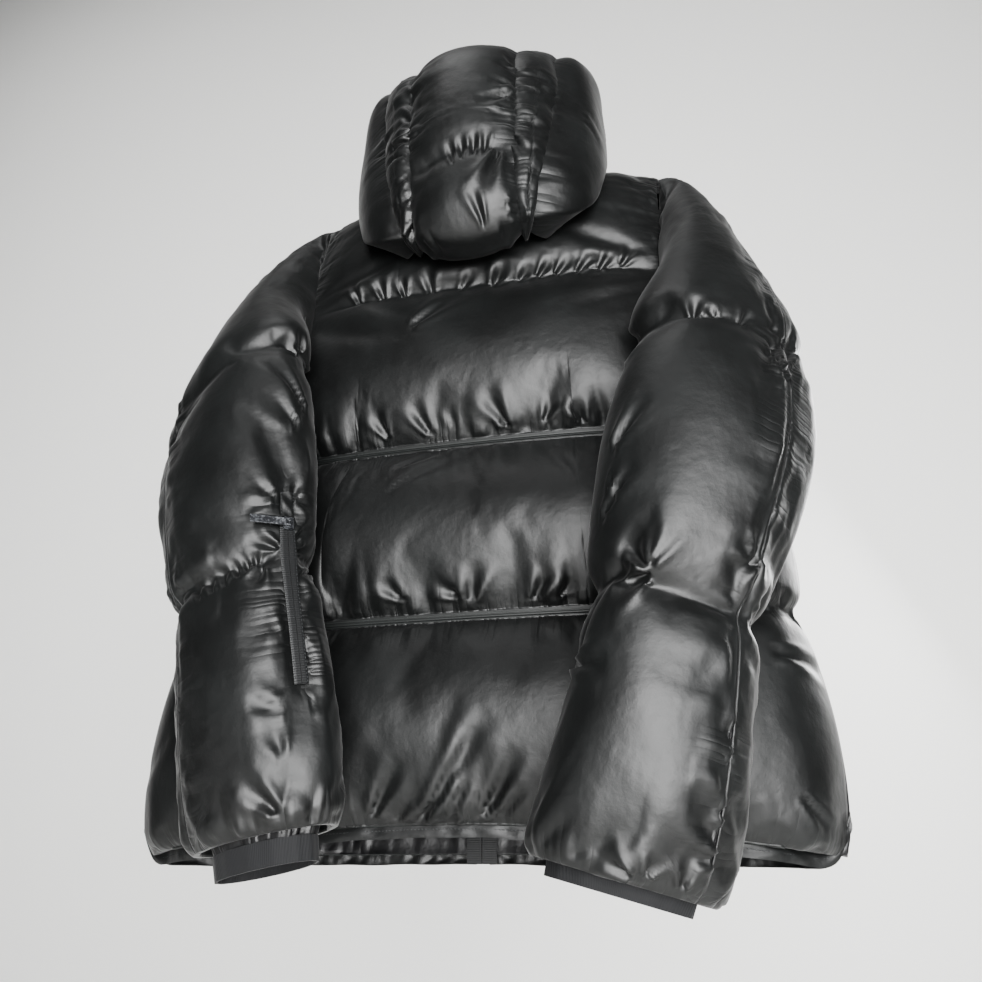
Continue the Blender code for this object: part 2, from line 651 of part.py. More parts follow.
def build_cuffs(name, sign, rings, seams, count, scale, shown):
    """Gathered inner cuff and the flat band that shows below the sleeve's hem."""
    hem = seams[2]
    angles = 360.0 * np.arange(count) / count

    def ring(along, scale):
        points = sleeve_ring(rings, along, angles[::2], sign)
        middle = points.mean(axis=0)
        points = middle + (points - middle) * scale
        between = (points + np.roll(points, -1, axis=0)) / 2
        return np.stack([points, between], axis=1).reshape(-1, 3), middle

    def tube(part, stations, colour, pleated):
        outer, inner = [], []
        for along, share in stations:
            points, middle = ring(along, share)
            pleat = (1 + np.sin(np.arange(count) * PLEAT_TURN)[:, None]) * (share < PLAIN_TOP)
            points = points - unit(points - middle) * pleated * pleat
            outer.append(points)
            inner.append(points - unit(points - middle) * CUFF_WALL)
        wall(f"{part}_{name}", np.array(outer), np.array(inner), list(range(len(stations))),
             list(range(count)), colour, around=True)

    band_top = hem - CUFF_BACKSET
    drawn = (STORM_SHARE + scale) / 2
    tube("storm_cuff", ((hem - STORM_TOP, STORM_SHARE), (hem - STORM_WAIST, drawn),
                        (band_top - CUFF_GAP, scale)), KNIT, PLEAT)
    tube("cuff_band", ((band_top, scale), (hem + shown, scale - CUFF_TAPER)), BAND, 0.0)


# ------------------------------------------------------------------ hood and collar
HOOD_EDGE = 0.0075      # hood's wall at its seams
HOOD_FOOT = (0.58, 0.92)    # shares of the neck seam's thickness that it stands on
HOOD_FOOT_RISE = 0.004
HOOD_FLAT = 0.12        # share of the way in which the filling starts
HOOD_ROLL = 0.20        # share of the way over which it fills out
HOOD_PLEAT = 0.0025     # height of the gathers in the strips
HOOD_PIECES = (("hood_side_right", 9), ("hood_strip_right", 5), ("hood_middle", 13),
               ("hood_strip_left", 5), ("hood_side_left", 9))
HOOD_SHARES = (0.0, 0.035, 0.08, 0.13, 0.18, 0.23, 0.28, 0.32, 0.36, 0.40, 0.45, 0.50, 0.55,
               0.585, 0.60, 0.625, 0.67, 0.73, 0.79, 0.85, 0.91, 0.96, 1.0)


def ring_table(row, end, angles):
    """Distance from the neck axis and height at angles round the neck, from one table row."""
    half = [(0.0, row[1], row[2]), (HOOD_QUARTER, row[3], row[4]), (HOOD_SIDE, row[5], row[6]),
            (end, row[7], row[8])]
    stops = [(-angle, reach, height) for angle, reach, height in half[:0:-1]] + half
    return table(stops, angles)


def neck_at(loop, azimuth, angles):
    """Places on the neck edge at angles round it, straight between its points."""
    return np.stack([np.interp(angles, azimuth, loop[:, k]) for k in range(3)], axis=-1)


def hood_reach(share, angles, base):
    """Distance from the neck axis and height on the hood's plain inside."""
    controls = [base] + [ring_table(HOOD[k], HOOD_END, angles) for k in range(1, len(HOOD))]
    rows = [(HOOD[k][0], *controls[k].ravel()) for k in range(len(HOOD))]
    return table(rows, share).reshape(len(angles), 2)


def angle_for(x, share, base_at):
    """Angle round the neck at which the hood lies a distance x to the side."""
    low, high = np.zeros_like(x), np.full_like(x, 95.0)
    for _ in range(24):
        middle = (low + high) / 2
        reach = hood_reach(share, middle, base_at(middle))[:, 0]
        beyond = reach * np.sin(np.radians(middle)) > x
        high = np.where(beyond, middle, high)
        low = np.where(beyond, low, middle)
    return (low + high) / 2


def neck_feet(grids, low, high, rise):
    """Two rows of points that stand on the neck edge between two shares of its thickness: the foot
    itself and the row that follows it, both for the inside and the outside of a piece."""
    inner, onward = neck_loop(grids["back"][0], grids["left"][0], grids["right"][0])
    outer, _ = neck_loop(grids["back"][1], grids["left"][1], grids["right"][1])
    out = unit(outer - inner)
    rule = np.sign((np.cross(np.gradient(inner, axis=0), out) * onward).sum())
    onward = rule * unit(np.cross(np.gradient(inner, axis=0), out))
    foot = inner + onward * NECK_OFF - np.array([LEAN, 0.0, 0.0])
    return [[foot + out * NECK_EDGE * share + onward * step for share in (low, high)]
            for step in (0.0, rise)]


def on_ring(reach, turn):
    return np.stack([reach[:, 0] * np.sin(turn), reach[:, 0] * np.cos(turn), reach[:, 1]], axis=1)


def build_hood(grids, shell):
    """Middle piece, two gathered strips and two side pieces of the hood, cut from one sheet."""
    feet = neck_feet(grids, *HOOD_FOOT, HOOD_FOOT_RISE)
    azimuth = -np.degrees(np.arctan2(feet[0][0][:, 0], feet[0][0][:, 1]))

    def base_at(angles):
        place = neck_at(feet[0][0], azimuth, -angles)
        return np.stack([np.hypot(place[:, 0], place[:, 1]), place[:, 2]], axis=1)

    inside, places = [], []
    for share in HOOD_SHARES:
        strip = float(table(HOOD_STRIP, share)[0])
        x = np.concatenate([HOOD_MIDDLE * np.linspace(0, 1, 7)[1:],
                            HOOD_MIDDLE + strip * np.linspace(0, 1, 5)[1:]])
        half = angle_for(x, share, base_at)
        rest = (HOOD_END * 0.98 - half[-1]) * np.linspace(0, 1, 9)[1:] ** 1.4
        half = np.concatenate([half, half[-1] + rest])
        angles = np.concatenate([-half[::-1], [0.0], half])
        places.append(angles)
        inside.append(on_ring(hood_reach(share, angles, base_at(angles)), np.radians(angles)))
    inside = np.array(inside)
    for row in (0, 1):
        inside[row] = neck_at(feet[row][0], azimuth, -places[row])
    facing = normals(inside)
    if facing[12, 18] @ inside[12, 18] < 0:
        facing = -facing
    ends = np.cumsum([0] + [count - 1 for name, count in HOOD_PIECES])
    thick = np.zeros(inside.shape[:2])
    for (name, count), start in zip(HOOD_PIECES, ends):
        thick[:, start:start + count] = hood_wall(name, count)
    outside = inside + facing * thick[..., None]
    centre = np.array([LEAN, 0.0, 0.0])
    push = off_body(outside[2:] + centre, shell, HOOD_CLEAR)
    inside[2:] += push
    outside[2:] += push
    for row in (0, 1):
        outside[row] = neck_at(feet[row][1], azimuth, -places[row])
    for (name, count), start in zip(HOOD_PIECES, ends):
        part = slice(start, start + count)
        last = len(HOOD_SHARES) - 1
        picks = list(range(8)) + list(range(8, last, 2)) + [last]
        wall(name, draw_in(outside[:, part]) + centre, draw_in(inside[:, part]) + centre,
             picks, every(count, 1 if "side" in name else 2))


def hood_wall(name, count):
    """Thickness of one hood piece over its plain inside."""
    edge = np.sin(np.pi * np.linspace(0, 1, count)) ** 0.5
    full = STRIP_FILL if "strip" in name else HOOD_FILL
    rows = []
    for i, share in enumerate(HOOD_SHARES):
        along = float(ease((share - HOOD_FLAT) / HOOD_ROLL)) * float(ease((1.06 - share) / HOOD_ROLL))
        if name == "hood_middle" and share < HOOD_SEAM:
            way = np.clip((share - HOOD_FLAT) / (HOOD_SEAM - HOOD_FLAT), 0.05, 0.93)
            along = math.sin(math.pi * way) ** 0.5
        elif name == "hood_middle":
            along = math.sin(math.pi * min((share - HOOD_SEAM) / (1.02 - HOOD_SEAM), 1.0)) ** 0.5
        row = HOOD_EDGE + (full - HOOD_EDGE) * along * edge
        if share < 0.30:
            row = np.minimum(row, HOOD_EDGE + 0.02 * max(share - 0.2, 0.0) / 0.1)
        if "strip" in name:
            row = row + HOOD_PLEAT * edge * math.cos(i * 2.2) * (share > 0.3)
        rows.append(row)
    return np.array(rows)


COLLAR_EDGE = 0.0047    # collar's wall at its edges
COLLAR_FOOT = (0.04, 0.32)
COLLAR_FOOT_RISE = 0.010


def build_collar(grids):
    """Stand collar, from the left front edge round the back to the right one."""
    feet = neck_feet(grids, *COLLAR_FOOT, COLLAR_FOOT_RISE)
    low, high = feet[0]
    centre = np.array([LEAN, 0.0, 0.0])
    azimuth = np.degrees(np.arctan2(low[:, 0], low[:, 1]))
    inside = [low]
    shares = (0.0, 0.12, 0.30, 0.50, 0.70, 0.88, 1.0)
    base = np.stack([np.hypot(low[:, 0], low[:, 1]), low[:, 2]], axis=1)
    controls = [base] + [ring_table(COLLAR[k], COLLAR_END, azimuth) for k in (1, 2)]
    rows = [(COLLAR[k][0], *controls[k].ravel()) for k in range(3)]
    turn = np.radians(azimuth)
    for share in shares[1:]:
        reach = table(rows, share).reshape(-1, 2)
        inside.append(on_ring(reach, turn))
    inside = np.array(inside)
    inside[1] = feet[1][0]
    facing = normals(inside)
    facing[:, :, 2] *= 0.5
    facing = unit(facing)
    if facing[3, 14] @ inside[3, 14] < 0:
        facing = -facing
    full = np.array([math.sin(math.pi * min(share * 0.93, 1)) ** 0.6 for share in shares])
    count = np.arange(len(low))
    edge = 0.2 + 0.8 * ease(np.minimum(count, count[::-1]) / 3.0)
    fill = (COLLAR_FILL - COLLAR_EDGE) * full[:, None] * edge
    outside = inside + facing * (COLLAR_EDGE + fill)[..., None]
    outside[0] = high
    outside[1] = feet[1][1]
    for grid in (inside, outside):
        grid[:, 0, 0] = np.maximum(grid[:, 0, 0], FRONT_OPENING)
        grid[:, -1, 0] = np.minimum(grid[:, -1, 0], -FRONT_OPENING)
    inside, outside = inside + centre, outside + centre
    wall("collar", outside, inside, list(range(len(shares))), list(range(inside.shape[1])))
    return inside, outside


# ------------------------------------------------------------------ zips
def loft(name, sections, colour):
    """Closed solid through rows of points with the same count."""
    grid = np.array(sections)
    rows, columns = grid.shape[:2]
    index = np.arange(rows * columns).reshape(rows, columns)
    faces = quads(index, around=True) + [tuple(index[0][::-1]), tuple(index[-1])]
    return finish(name, grid.reshape(-1, 3), faces, colour)


def build_front_zip(grids, collar):
    """Tape and teeth along each front edge, from the hem to the top of the collar."""
    edges = {}
    for name, sign, column in (("left", 1, 0), ("right", -1, -1)):
        inside, outside = grids[name]
        sewn = [(inside[i, 0], outside[i, 0], inside[i, 1]) for i in INNER_ROWS]
        near = 1 if column == 0 else -2
        for i in range(1, len(collar[0])):
            sewn.append((collar[0][i, column], collar[1][i, column], collar[0][i, near]))
        edges[name] = sewn
    for name, sign in (("left", 1), ("right", -1)):
        sections = []
        others = edges["right" if sign > 0 else "left"]
        for k, (edge, face, beyond) in enumerate(edges[name]):
            middle = (edge[0] + others[k][0][0]) / 2
            inward = unit(edge - face)
            inward[0] = 0.0
            across = (ZIP_HALF_WIDTH - FRONT_OPENING) / abs(beyond[0] - edge[0])
            far = edge + (beyond - edge) * across
            lift = NECK_LIFT if k > len(INNER_ROWS) - 3 else FRONT_LIFT
            base = edge + inward * lift
            section = [face.copy(), base + inward * ZIP_TAPE, far + inward * (lift + ZIP_TAPE),
                       far + inward * lift, base.copy(), face.copy()]
            for corner, x in ((0, GAP), (1, GAP), (4, ZIP_BEAD), (5, ZIP_BEAD)):
                section[corner][0] = middle + sign * x
            sections.append(section)
        loft(f"front_zip_{name}", sections, BAND)
    top = len(edges["left"]) - 2
    face = (edges["left"][top][1] + edges["right"][top][1]) / 2
    below = (edges["left"][top - 1][1] + edges["right"][top - 1][1]) / 2
    inner = (edges["left"][top][0] + edges["right"][top][0]) / 2
    down = unit(below - face)
    out = unit(face - inner)
    out = unit(out - down * (out @ down))
    build_slider("front", face, -down, out, down, 0.0)


def build_sleeve_zip(rows, outside):
    """Tape, garage, slider and pull on the back of the left sleeve."""
    first, top, last = zip_rows(rows)
    facing = normals(outside, around=True) * -1
    pair = (ZIP_COLUMN, ZIP_COLUMN + 1)

    def strip(name, start, end, thick, colour, trim):
        low = outside[start:end + 1, pair] + facing[start:end + 1, pair] * ZIP_LIFT
        high = low + facing[start:end + 1, pair] * thick
        for grid in (low, high):
            across = grid[:, 1] - grid[:, 0]
            grid[:, 0] += across * 0.04
            grid[:, 1] -= across * 0.04
        low[0] += (low[1] - low[0]) * trim
        high[0] += (high[1] - high[0]) * trim
        picks = list(range(end + 1 - start))
        wall(name, high, low, picks, [0, 1], colour)
        return high

    strip("zip_garage", first, top, GARAGE_WALL, CLOTH, 0.42)
    face = strip("sleeve_zip", top, last, ZIP_TAPE, BAND, 0.02)
    start = face[0].mean(axis=0)
    up = unit(start - face[1].mean(axis=0))
    out = unit(facing[top, list(pair)].mean(axis=0))
    out = unit(out - up * (out @ up))
    side = np.cross(out, up)
    side = side if side[0] > 0 else -side
    build_slider("sleeve", start - up * 0.008, up, out, side, PULL_TILT)


def oriented(part, place, x_axis, y_axis, z_axis):
    """Turns a part so that its own axes lie along the given ones."""
    frame = np.eye(4)
    frame[:3, 0], frame[:3, 1], frame[:3, 2], frame[:3, 3] = x_axis, y_axis, z_axis, place
    part.matrix_world = mathutils.Matrix(frame.tolist())


def box(work, low, high):
    made = bmesh.ops.create_cube(work, size=1.0)["verts"]
    low, high = np.array(low), np.array(high)
    for vert in made:
        vert.co = tuple((low + high) / 2 + np.array(vert.co) * (high - low))


def to_object(work, name, colour):
    mesh = bpy.data.meshes.new(name)
    work.to_mesh(mesh)
    work.free()
    part = bpy.data.objects.new(name, mesh)
    bpy.data.collections["puffer_jacket"].objects.link(part)
    mesh.materials.append(material(name, colour, 0.35, 0.9))
    return part


def build_slider(name, face, up, out, reach, tilt):
    """Slider lying on the zip at `face`, with its bridge, and the pull that reaches one way.
    In the slider's own frame X is the pull's way, Z is out and Y is the hinge line."""
    hinge = np.cross(out, reach)
    pivot = face + out * (GAP + SLIDER[2] + PIVOT_HEIGHT)
    width, length = SLIDER[:2]
    if abs(reach @ up) > 0.5:
        width, length = length, width
    work = bmesh.new()
    box(work, (-width / 2, -length / 2, -PIVOT_HEIGHT - SLIDER[2]),
        (width / 2, length / 2, -PIVOT_HEIGHT))
    bmesh.ops.bevel(work, geom=work.edges[:], offset=0.0009, segments=2, affect="EDGES")
    body = to_object(work, f"{name}_slider", METAL)
    work = bmesh.new()
    ring = bmesh.ops.create_circle(work, cap_ends=True, segments=8, radius=ARCH_WIRE)["verts"]
    for vert in ring:
        vert.co.x += ARCH
    bmesh.ops.spin(work, geom=work.faces[:] + work.edges[:] + work.verts[:], cent=(0, 0, 0),
                   axis=(0, -1, 0), angle=math.pi, steps=10)
    foot = PIVOT_HEIGHT + 0.0010
    for at in (ARCH, -ARCH):
        ends = [face for face in work.faces if len(face.verts) == 8
                and abs(face.calc_center_median().x - at) < 1e-5
                and abs(face.calc_center_median().z) < 1e-5]
        moved = bmesh.ops.extrude_discrete_faces(work, faces=ends)["faces"]
        for vert in {vert for face in moved for vert in face.verts}:
            vert.co.z -= foot
    bmesh.ops.remove_doubles(work, verts=work.verts[:], dist=1e-7)
    bmesh.ops.recalc_face_normals(work, faces=work.faces[:])
    bridge = to_object(work, f"{name}_bridge_tool", METAL)
    join = body.modifiers.new("bridge", "BOOLEAN")
    join.operation = "UNION"
    join.object = bridge
    bridge.hide_render = True
    bridge.display_type = "WIRE"
    work = bmesh.new()
    box(work, (-ARCH_WIRE, -PULL_HALF_WIDTH, -PULL_WALL / 2),
        (PULL_LENGTH, PULL_HALF_WIDTH, PULL_WALL / 2))
    pull = to_object(work, f"{name}_pull", METAL)
    work = bmesh.new()
    box(work, (ARCH_WIRE, -PULL_HALF_WIDTH * 0.48, -0.01), (PULL_EYE, PULL_HALF_WIDTH * 0.48, 0.01))
    eye = to_object(work, f"{name}_eye_tool", METAL)
    cut = pull.modifiers.new("eye", "BOOLEAN")
    cut.operation = "DIFFERENCE"
    cut.object = eye
    eye.hide_render = True
    eye.display_type = "WIRE"
    for part in (body, bridge, pull, eye):
        oriented(part, pivot, reach, hinge, out)
    if tilt:
        lifted = reach * math.cos(tilt) + out * math.sin(tilt)
        upright = out * math.cos(tilt) - reach * math.sin(tilt)
        oriented(pull, pivot, lifted, hinge, upright)
        oriented(eye, pivot, lifted, hinge, upright)


# ------------------------------------------------------------------ scene
def main():
    for old in list(bpy.data.objects):
        bpy.data.objects.remove(old)
    collection = bpy.data.collections.new("puffer_jacket")
    bpy.context.scene.collection.children.link(collection)
    grids = build_body()
    shell = shell_of(grids)
    for name, sign, rings, seams, scale, shown in (
            ("left", 1, LEFT_SLEEVE, LEFT_SEAMS, LEFT_CUFF, LEFT_SHOWN),
            ("right", -1, RIGHT_SLEEVE, RIGHT_SEAMS, RIGHT_CUFF, RIGHT_SHOWN)):
        rows, inside, outside = build_sleeve(name, sign, rings, seams, grids, shell)
        build_cuffs(name, sign, rings, seams, inside.shape[1], scale, shown)
        if name == "left":
            build_sleeve_zip(rows, outside)
    build_hood(grids, shell)
    build_front_zip(grids, build_collar(grids))


main()
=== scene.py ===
import math
from functools import partial
import bpy
import bmesh
import numpy as np
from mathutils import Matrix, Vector, noise
from mathutils.bvhtree import BVHTree
from mathutils.kdtree import KDTree


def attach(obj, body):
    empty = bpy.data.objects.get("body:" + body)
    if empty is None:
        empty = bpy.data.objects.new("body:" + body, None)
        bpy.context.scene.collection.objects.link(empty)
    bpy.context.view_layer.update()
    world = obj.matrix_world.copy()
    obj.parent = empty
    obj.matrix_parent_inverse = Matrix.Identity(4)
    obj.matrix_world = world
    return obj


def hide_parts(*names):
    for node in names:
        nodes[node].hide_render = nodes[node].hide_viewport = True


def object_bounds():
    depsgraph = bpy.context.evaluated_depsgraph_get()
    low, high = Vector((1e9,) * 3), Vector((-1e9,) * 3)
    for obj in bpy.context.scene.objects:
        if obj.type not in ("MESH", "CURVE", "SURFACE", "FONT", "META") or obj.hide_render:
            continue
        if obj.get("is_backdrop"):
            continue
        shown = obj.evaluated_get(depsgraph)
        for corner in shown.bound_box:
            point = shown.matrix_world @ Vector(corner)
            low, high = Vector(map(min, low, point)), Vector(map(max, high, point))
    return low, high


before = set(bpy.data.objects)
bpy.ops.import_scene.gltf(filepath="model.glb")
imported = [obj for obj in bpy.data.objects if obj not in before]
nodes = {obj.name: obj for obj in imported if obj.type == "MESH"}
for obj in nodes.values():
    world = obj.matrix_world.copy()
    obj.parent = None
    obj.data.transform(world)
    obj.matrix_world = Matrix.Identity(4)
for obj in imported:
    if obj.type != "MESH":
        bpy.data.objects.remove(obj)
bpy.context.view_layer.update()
print("frame loaded:", len(nodes), "nodes")


# camera, floor and lights
sensor = 36  # mm
view = {"target": (-0.04, 0.08, -0.40), "distance": 0.76, "yaw": 12.5, "pitch": 25.0,
        "focal": 780 / 982 * sensor}


def addObject(name, data):
    made = bpy.data.objects.new(name, data)
    bpy.context.scene.collection.objects.link(made)
    return made


def addCamera():
    yaw, pitch = math.radians(view["yaw"]), math.radians(view["pitch"])
    level = math.cos(pitch)
    look = Vector((math.sin(yaw) * level, -math.cos(yaw) * level, math.sin(pitch)))
    camera = addObject("camera", bpy.data.cameras.new("camera"))
    camera.location = Vector(view["target"]) - look * view["distance"]
    camera.rotation_euler = look.to_track_quat("-Z", "Y").to_euler()
    camera.data.sensor_width = sensor
    camera.data.lens = view["focal"]
    bpy.context.scene.camera = camera


def toLinear(hexColour):
    values = [int(hexColour[i:i + 2], 16) / 255 for i in (1, 3, 5)]
    linear = [v / 12.92 if v <= 0.04045 else ((v + 0.055) / 1.055) ** 2.4 for v in values]
    return (*linear, 1.0)


def addNode(material, kind, output, settings):
    # a setting is a value or another node's output, and goes to a socket or a property of the new node
    made = material.node_tree.nodes.new("ShaderNode" + kind)
    for key, value in settings.items():
        if isinstance(value, bpy.types.NodeSocket):
            material.node_tree.links.new(value, made.inputs[key])
        elif isinstance(key, int) or key in made.inputs:
            made.inputs[key].default_value = value
        else:
            setattr(made, key, value)
    return made.outputs[output]


def newMaterial(name, settings):
    material = bpy.data.materials.new(name)
    material.use_nodes = True
    shader = material.node_tree.nodes["Principled BSDF"]
    for key, value in settings.items():
        shader.inputs[key].default_value = value
    return material, shader


def feed(material, shader, sources):
    for key, source in sources.items():
        material.node_tree.links.new(source, shader.inputs[key])


def deselectAll():
    if bpy.context.mode != "OBJECT":
        bpy.ops.object.mode_set(mode="OBJECT")
    bpy.ops.object.select_all(action="DESELECT")


def makeActive(piece):
    deselectAll()
    piece.select_set(True)
    bpy.context.view_layer.objects.active = piece


def startEdit(piece):
    makeActive(piece)
    bpy.ops.object.mode_set(mode="EDIT")
    bpy.ops.mesh.select_all(action="SELECT")


def endEdit():
    bpy.ops.object.mode_set(mode="OBJECT")


def choose(piece, kind, wanted):
    # in edit mode, only the wanted faces or edges are left selected
    bpy.ops.mesh.select_mode(type=kind)
    bpy.ops.mesh.select_all(action="DESELECT")
    work = bmesh.from_edit_mesh(piece.data)
    for part in work.faces if kind == "FACE" else work.edges:
        if wanted(part):
            part.select_set(True)
    bmesh.update_edit_mesh(piece.data)


stageLook = {"floor": -1.75, "wall": -1.7, "curve": 0.9, "steps": 12, "width": 9.0, "height": 8.0,
             "colour": "#F2F2F0", "roughness": 0.95}


def addStage():
    # a paper sweep: floor and wall in one, with a wide curve between them
    deselectAll()
    middle = (0, stageLook["wall"] + stageLook["width"] / 2, stageLook["floor"])
    bpy.ops.mesh.primitive_plane_add(size=stageLook["width"], location=middle)
    floor = bpy.context.object
    floor.name = "studio_floor"
    startEdit(floor)
    choose(floor, "EDGE", lambda edge: all(v.co.y < 0 for v in edge.verts))
    bpy.ops.mesh.extrude_region_move(TRANSFORM_OT_translate={"value": (0, 0, stageLook["height"])})
    choose(floor, "EDGE", lambda edge: all(v.co.y < 0 and abs(v.co.z) < 0.001 for v in edge.verts))
    bpy.ops.mesh.bevel(offset=stageLook["curve"], segments=stageLook["steps"], affect="EDGES")
    endEdit()
    bpy.ops.object.transform_apply(location=True, rotation=True, scale=True)
    bpy.ops.object.shade_smooth()
    paper = {"Base Color": toLinear(stageLook["colour"]), "Roughness": stageLook["roughness"]}
    floor.data.materials.append(newMaterial("matt_studio_paper", paper)[0])
    floor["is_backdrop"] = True


# place, what it faces, width, height, power
lamps = {
    "tall_key_softbox": ((-0.58, 2.00, -0.62), (-0.12, 0.10, -0.42), 1.3, 1.8, 104),
    "low_left_softbox": ((1.5, 1.3, -1.1), (0.10, 0.10, -0.45), 1.0, 1.0, 3),
    "right_softbox": ((-1.5, 1.7, -0.7), (-0.15, 0.10, -0.45), 1.0, 1.2, 24),
    "overhead_softbox": ((0.3, 0.9, 2.0), (0.0, 0.0, -0.30), 1.0, 1.0, 9),
    "front_softbox": ((-1.3, -1.2, 0.2), (0.0, 0.0, -0.35), 0.7, 0.7, 20),
    "wall_wash": ((0.7, -0.45, 1.6), (0.7, -1.7, 1.6), 6.0, 5.0, 90),
}
airStrength = 0.03


def addLamps():
    for name, (place, faces, width, height, power) in lamps.items():
        lamp = addObject(name, bpy.data.lights.new(name, "AREA"))
        lamp.data.shape = "RECTANGLE"
        lamp.data.size = width
        lamp.data.size_y = height
        lamp.data.energy = power
        lamp.location = place
        lamp.rotation_euler = (Vector(faces) - Vector(place)).to_track_quat("-Z", "Y").to_euler()
    world = bpy.data.worlds.new("studio_air")  # a trace of light from all round
    world.use_nodes = True
    background = world.node_tree.nodes["Background"]
    background.inputs["Color"].default_value = (1, 1, 1, 1)
    background.inputs["Strength"].default_value = airStrength
    bpy.context.scene.world = world
    bpy.context.scene.view_settings.look = "AgX - Medium High Contrast"


addCamera()
addStage()
addLamps()
print("camera, floor and lamps in place")


# materials: noise scales are repeats a metre, so 42 is lumps of about 24 mm
nylonGrain = {"wear": 14.0, "fine": 150.0, "lumps": 42.0, "lumpShare": 3.0, "gathers": 115.0,
              "patches": 16.0, "sharp": 0.7, "near": 0.004, "far": 0.045, "distance": 0.0008,
              "duller": 0.05, "shinier": 0.03,
              "sheen": {"IOR": 1.55, "Sheen Weight": 0.08, "Sheen Roughness": 0.4}}


def calenderedNylon(name, colour, lightColour, roughness, crease, gathers, grain=nylonGrain):
    # black down-proof nylon, hot pressed: a soft satin sheen, a little duller where it has been handled
    material, shader = newMaterial(name, grain["sheen"])
    add = partial(addNode, material)
    where = add("TexCoord", "Object", {})
    wear = add("TexNoise", "Fac", {"Vector": where, "Scale": grain["wear"], "Detail": 4.0,
                                   "Roughness": 0.55})
    worn = add("MapRange", "Result", {"Value": wear, "From Min": 0.35, "From Max": 0.7})
    tint = add("MixRGB", "Color", {"Fac": worn, "Color1": toLinear(colour),
                                   "Color2": toLinear(lightColour)})
    dull = add("MapRange", "Result", {"Value": wear, "From Min": 0.3, "From Max": 0.7,
                                      "To Min": roughness - grain["shinier"],
                                      "To Max": roughness + grain["duller"]})
    # small soft creases 6 to 12 mm apart over the whole cloth, and the down's lumps under it
    fine = add("TexNoise", "Fac", {"Vector": where, "Scale": grain["fine"], "Detail": 3.0,
                                   "Roughness": 0.6})
    lumps = add("TexNoise", "Fac", {"Vector": where, "Scale": grain["lumps"], "Detail": 2.0,
                                    "Roughness": 0.5})
    both = add("Math", "Value", {"operation": "MULTIPLY_ADD", 0: lumps, 1: grain["lumpShare"], 2: fine})
    # sharp gathers 4 to 9 mm apart run straight off each seam and die out in a few centimetres
    foot = add("Attribute", "Vector", {"attribute_name": "foot"})
    away = add("Attribute", "Fac", {"attribute_name": "away"})
    narrow = add("TexNoise", "Fac", {"Vector": foot, "Scale": grain["gathers"], "Detail": 1.0,
                                     "Roughness": 0.5})
    signed = add("Math", "Value", {"operation": "MULTIPLY_ADD", 0: narrow, 1: 4.0, 2: -2.0})
    ridge = add("Math", "Value", {"operation": "ABSOLUTE", 0: signed})
    drawn = add("Math", "Value", {"operation": "POWER", 0: ridge, 1: grain["sharp"]})
    patchy = add("TexNoise", "Fac", {"Vector": foot, "Scale": grain["patches"], "Detail": 1.0,
                                     "Roughness": 0.55})
    patches = add("MapRange", "Result", {"Value": patchy, "From Min": 0.42, "From Max": 0.62, "To Min": 0.15})
    near = add("MapRange", "Result", {"Value": away, "From Min": grain["near"], "From Max": grain["far"],
                                      "To Min": 1.0, "To Max": 0.0})
    for share in (near, near, patches):
        drawn = add("Math", "Value", {"operation": "MULTIPLY", 0: drawn, 1: share})
    height = add("Math", "Value", {"operation": "MULTIPLY_ADD", 0: drawn, 1: gathers, 2: both})
    bump = add("Bump", "Normal", {"Height": height, "Strength": crease, "Distance": grain["distance"]})
    feed(material, shader, {"Base Color": tint, "Roughness": dull, "Normal": bump})
    return material


# the real lines are under a millimetre apart, and are drawn at this period so that they show
ribs = {"period": 0.0024, "uneven": 0.4, "detail": 2.0, "bands": "Z", "roughness": 0.5, "sheen": 0.0,
        "depth": 0.0006}
ribbingWeave = {"period": 0.0018, "uneven": 0.6, "detail": 1.0, "bands": "X", "roughness": 0.8,
                "sheen": 0.05, "depth": 0.0002}
zipWeave = {**ribbingWeave, "period": 0.0020, "roughness": 0.5}


def woven(name, colour, lightColour, weave, onLay=True):
    # close dull lines with a soft shine, across the flat piece's lay or level round the object
    settings = {"Roughness": weave["roughness"], "Sheen Weight": weave["sheen"]}
    material, shader = newMaterial(name, settings)
    add = partial(addNode, material)
    if onLay:
        where = add("Attribute", "Vector", {"attribute_name": "lay"})
    else:
        where = add("TexCoord", "Object", {})
    # the wave texture repeats every 2 pi / 20 at scale 1
    lines = add("TexWave", "Fac", {"Vector": where, "Scale": math.pi / 10 / weave["period"],
                                   "Distortion": weave["uneven"], "Detail": weave["detail"],
                                   "bands_direction": weave["bands"]})
    tint = add("MixRGB", "Color", {"Fac": lines, "Color1": toLinear(colour),
                                   "Color2": toLinear(lightColour)})
    bump = add("Bump", "Normal", {"Height": lines, "Strength": 0.5, "Distance": weave["depth"]})
    feed(material, shader, {"Base Color": tint, "Normal": bump})
    return material


lacquer = {"worn": "#6B6D70", "metallic": 0.35, "patches": 420.0, "duller": 0.18, "bump": 0.15,
           "depth": 0.0002}


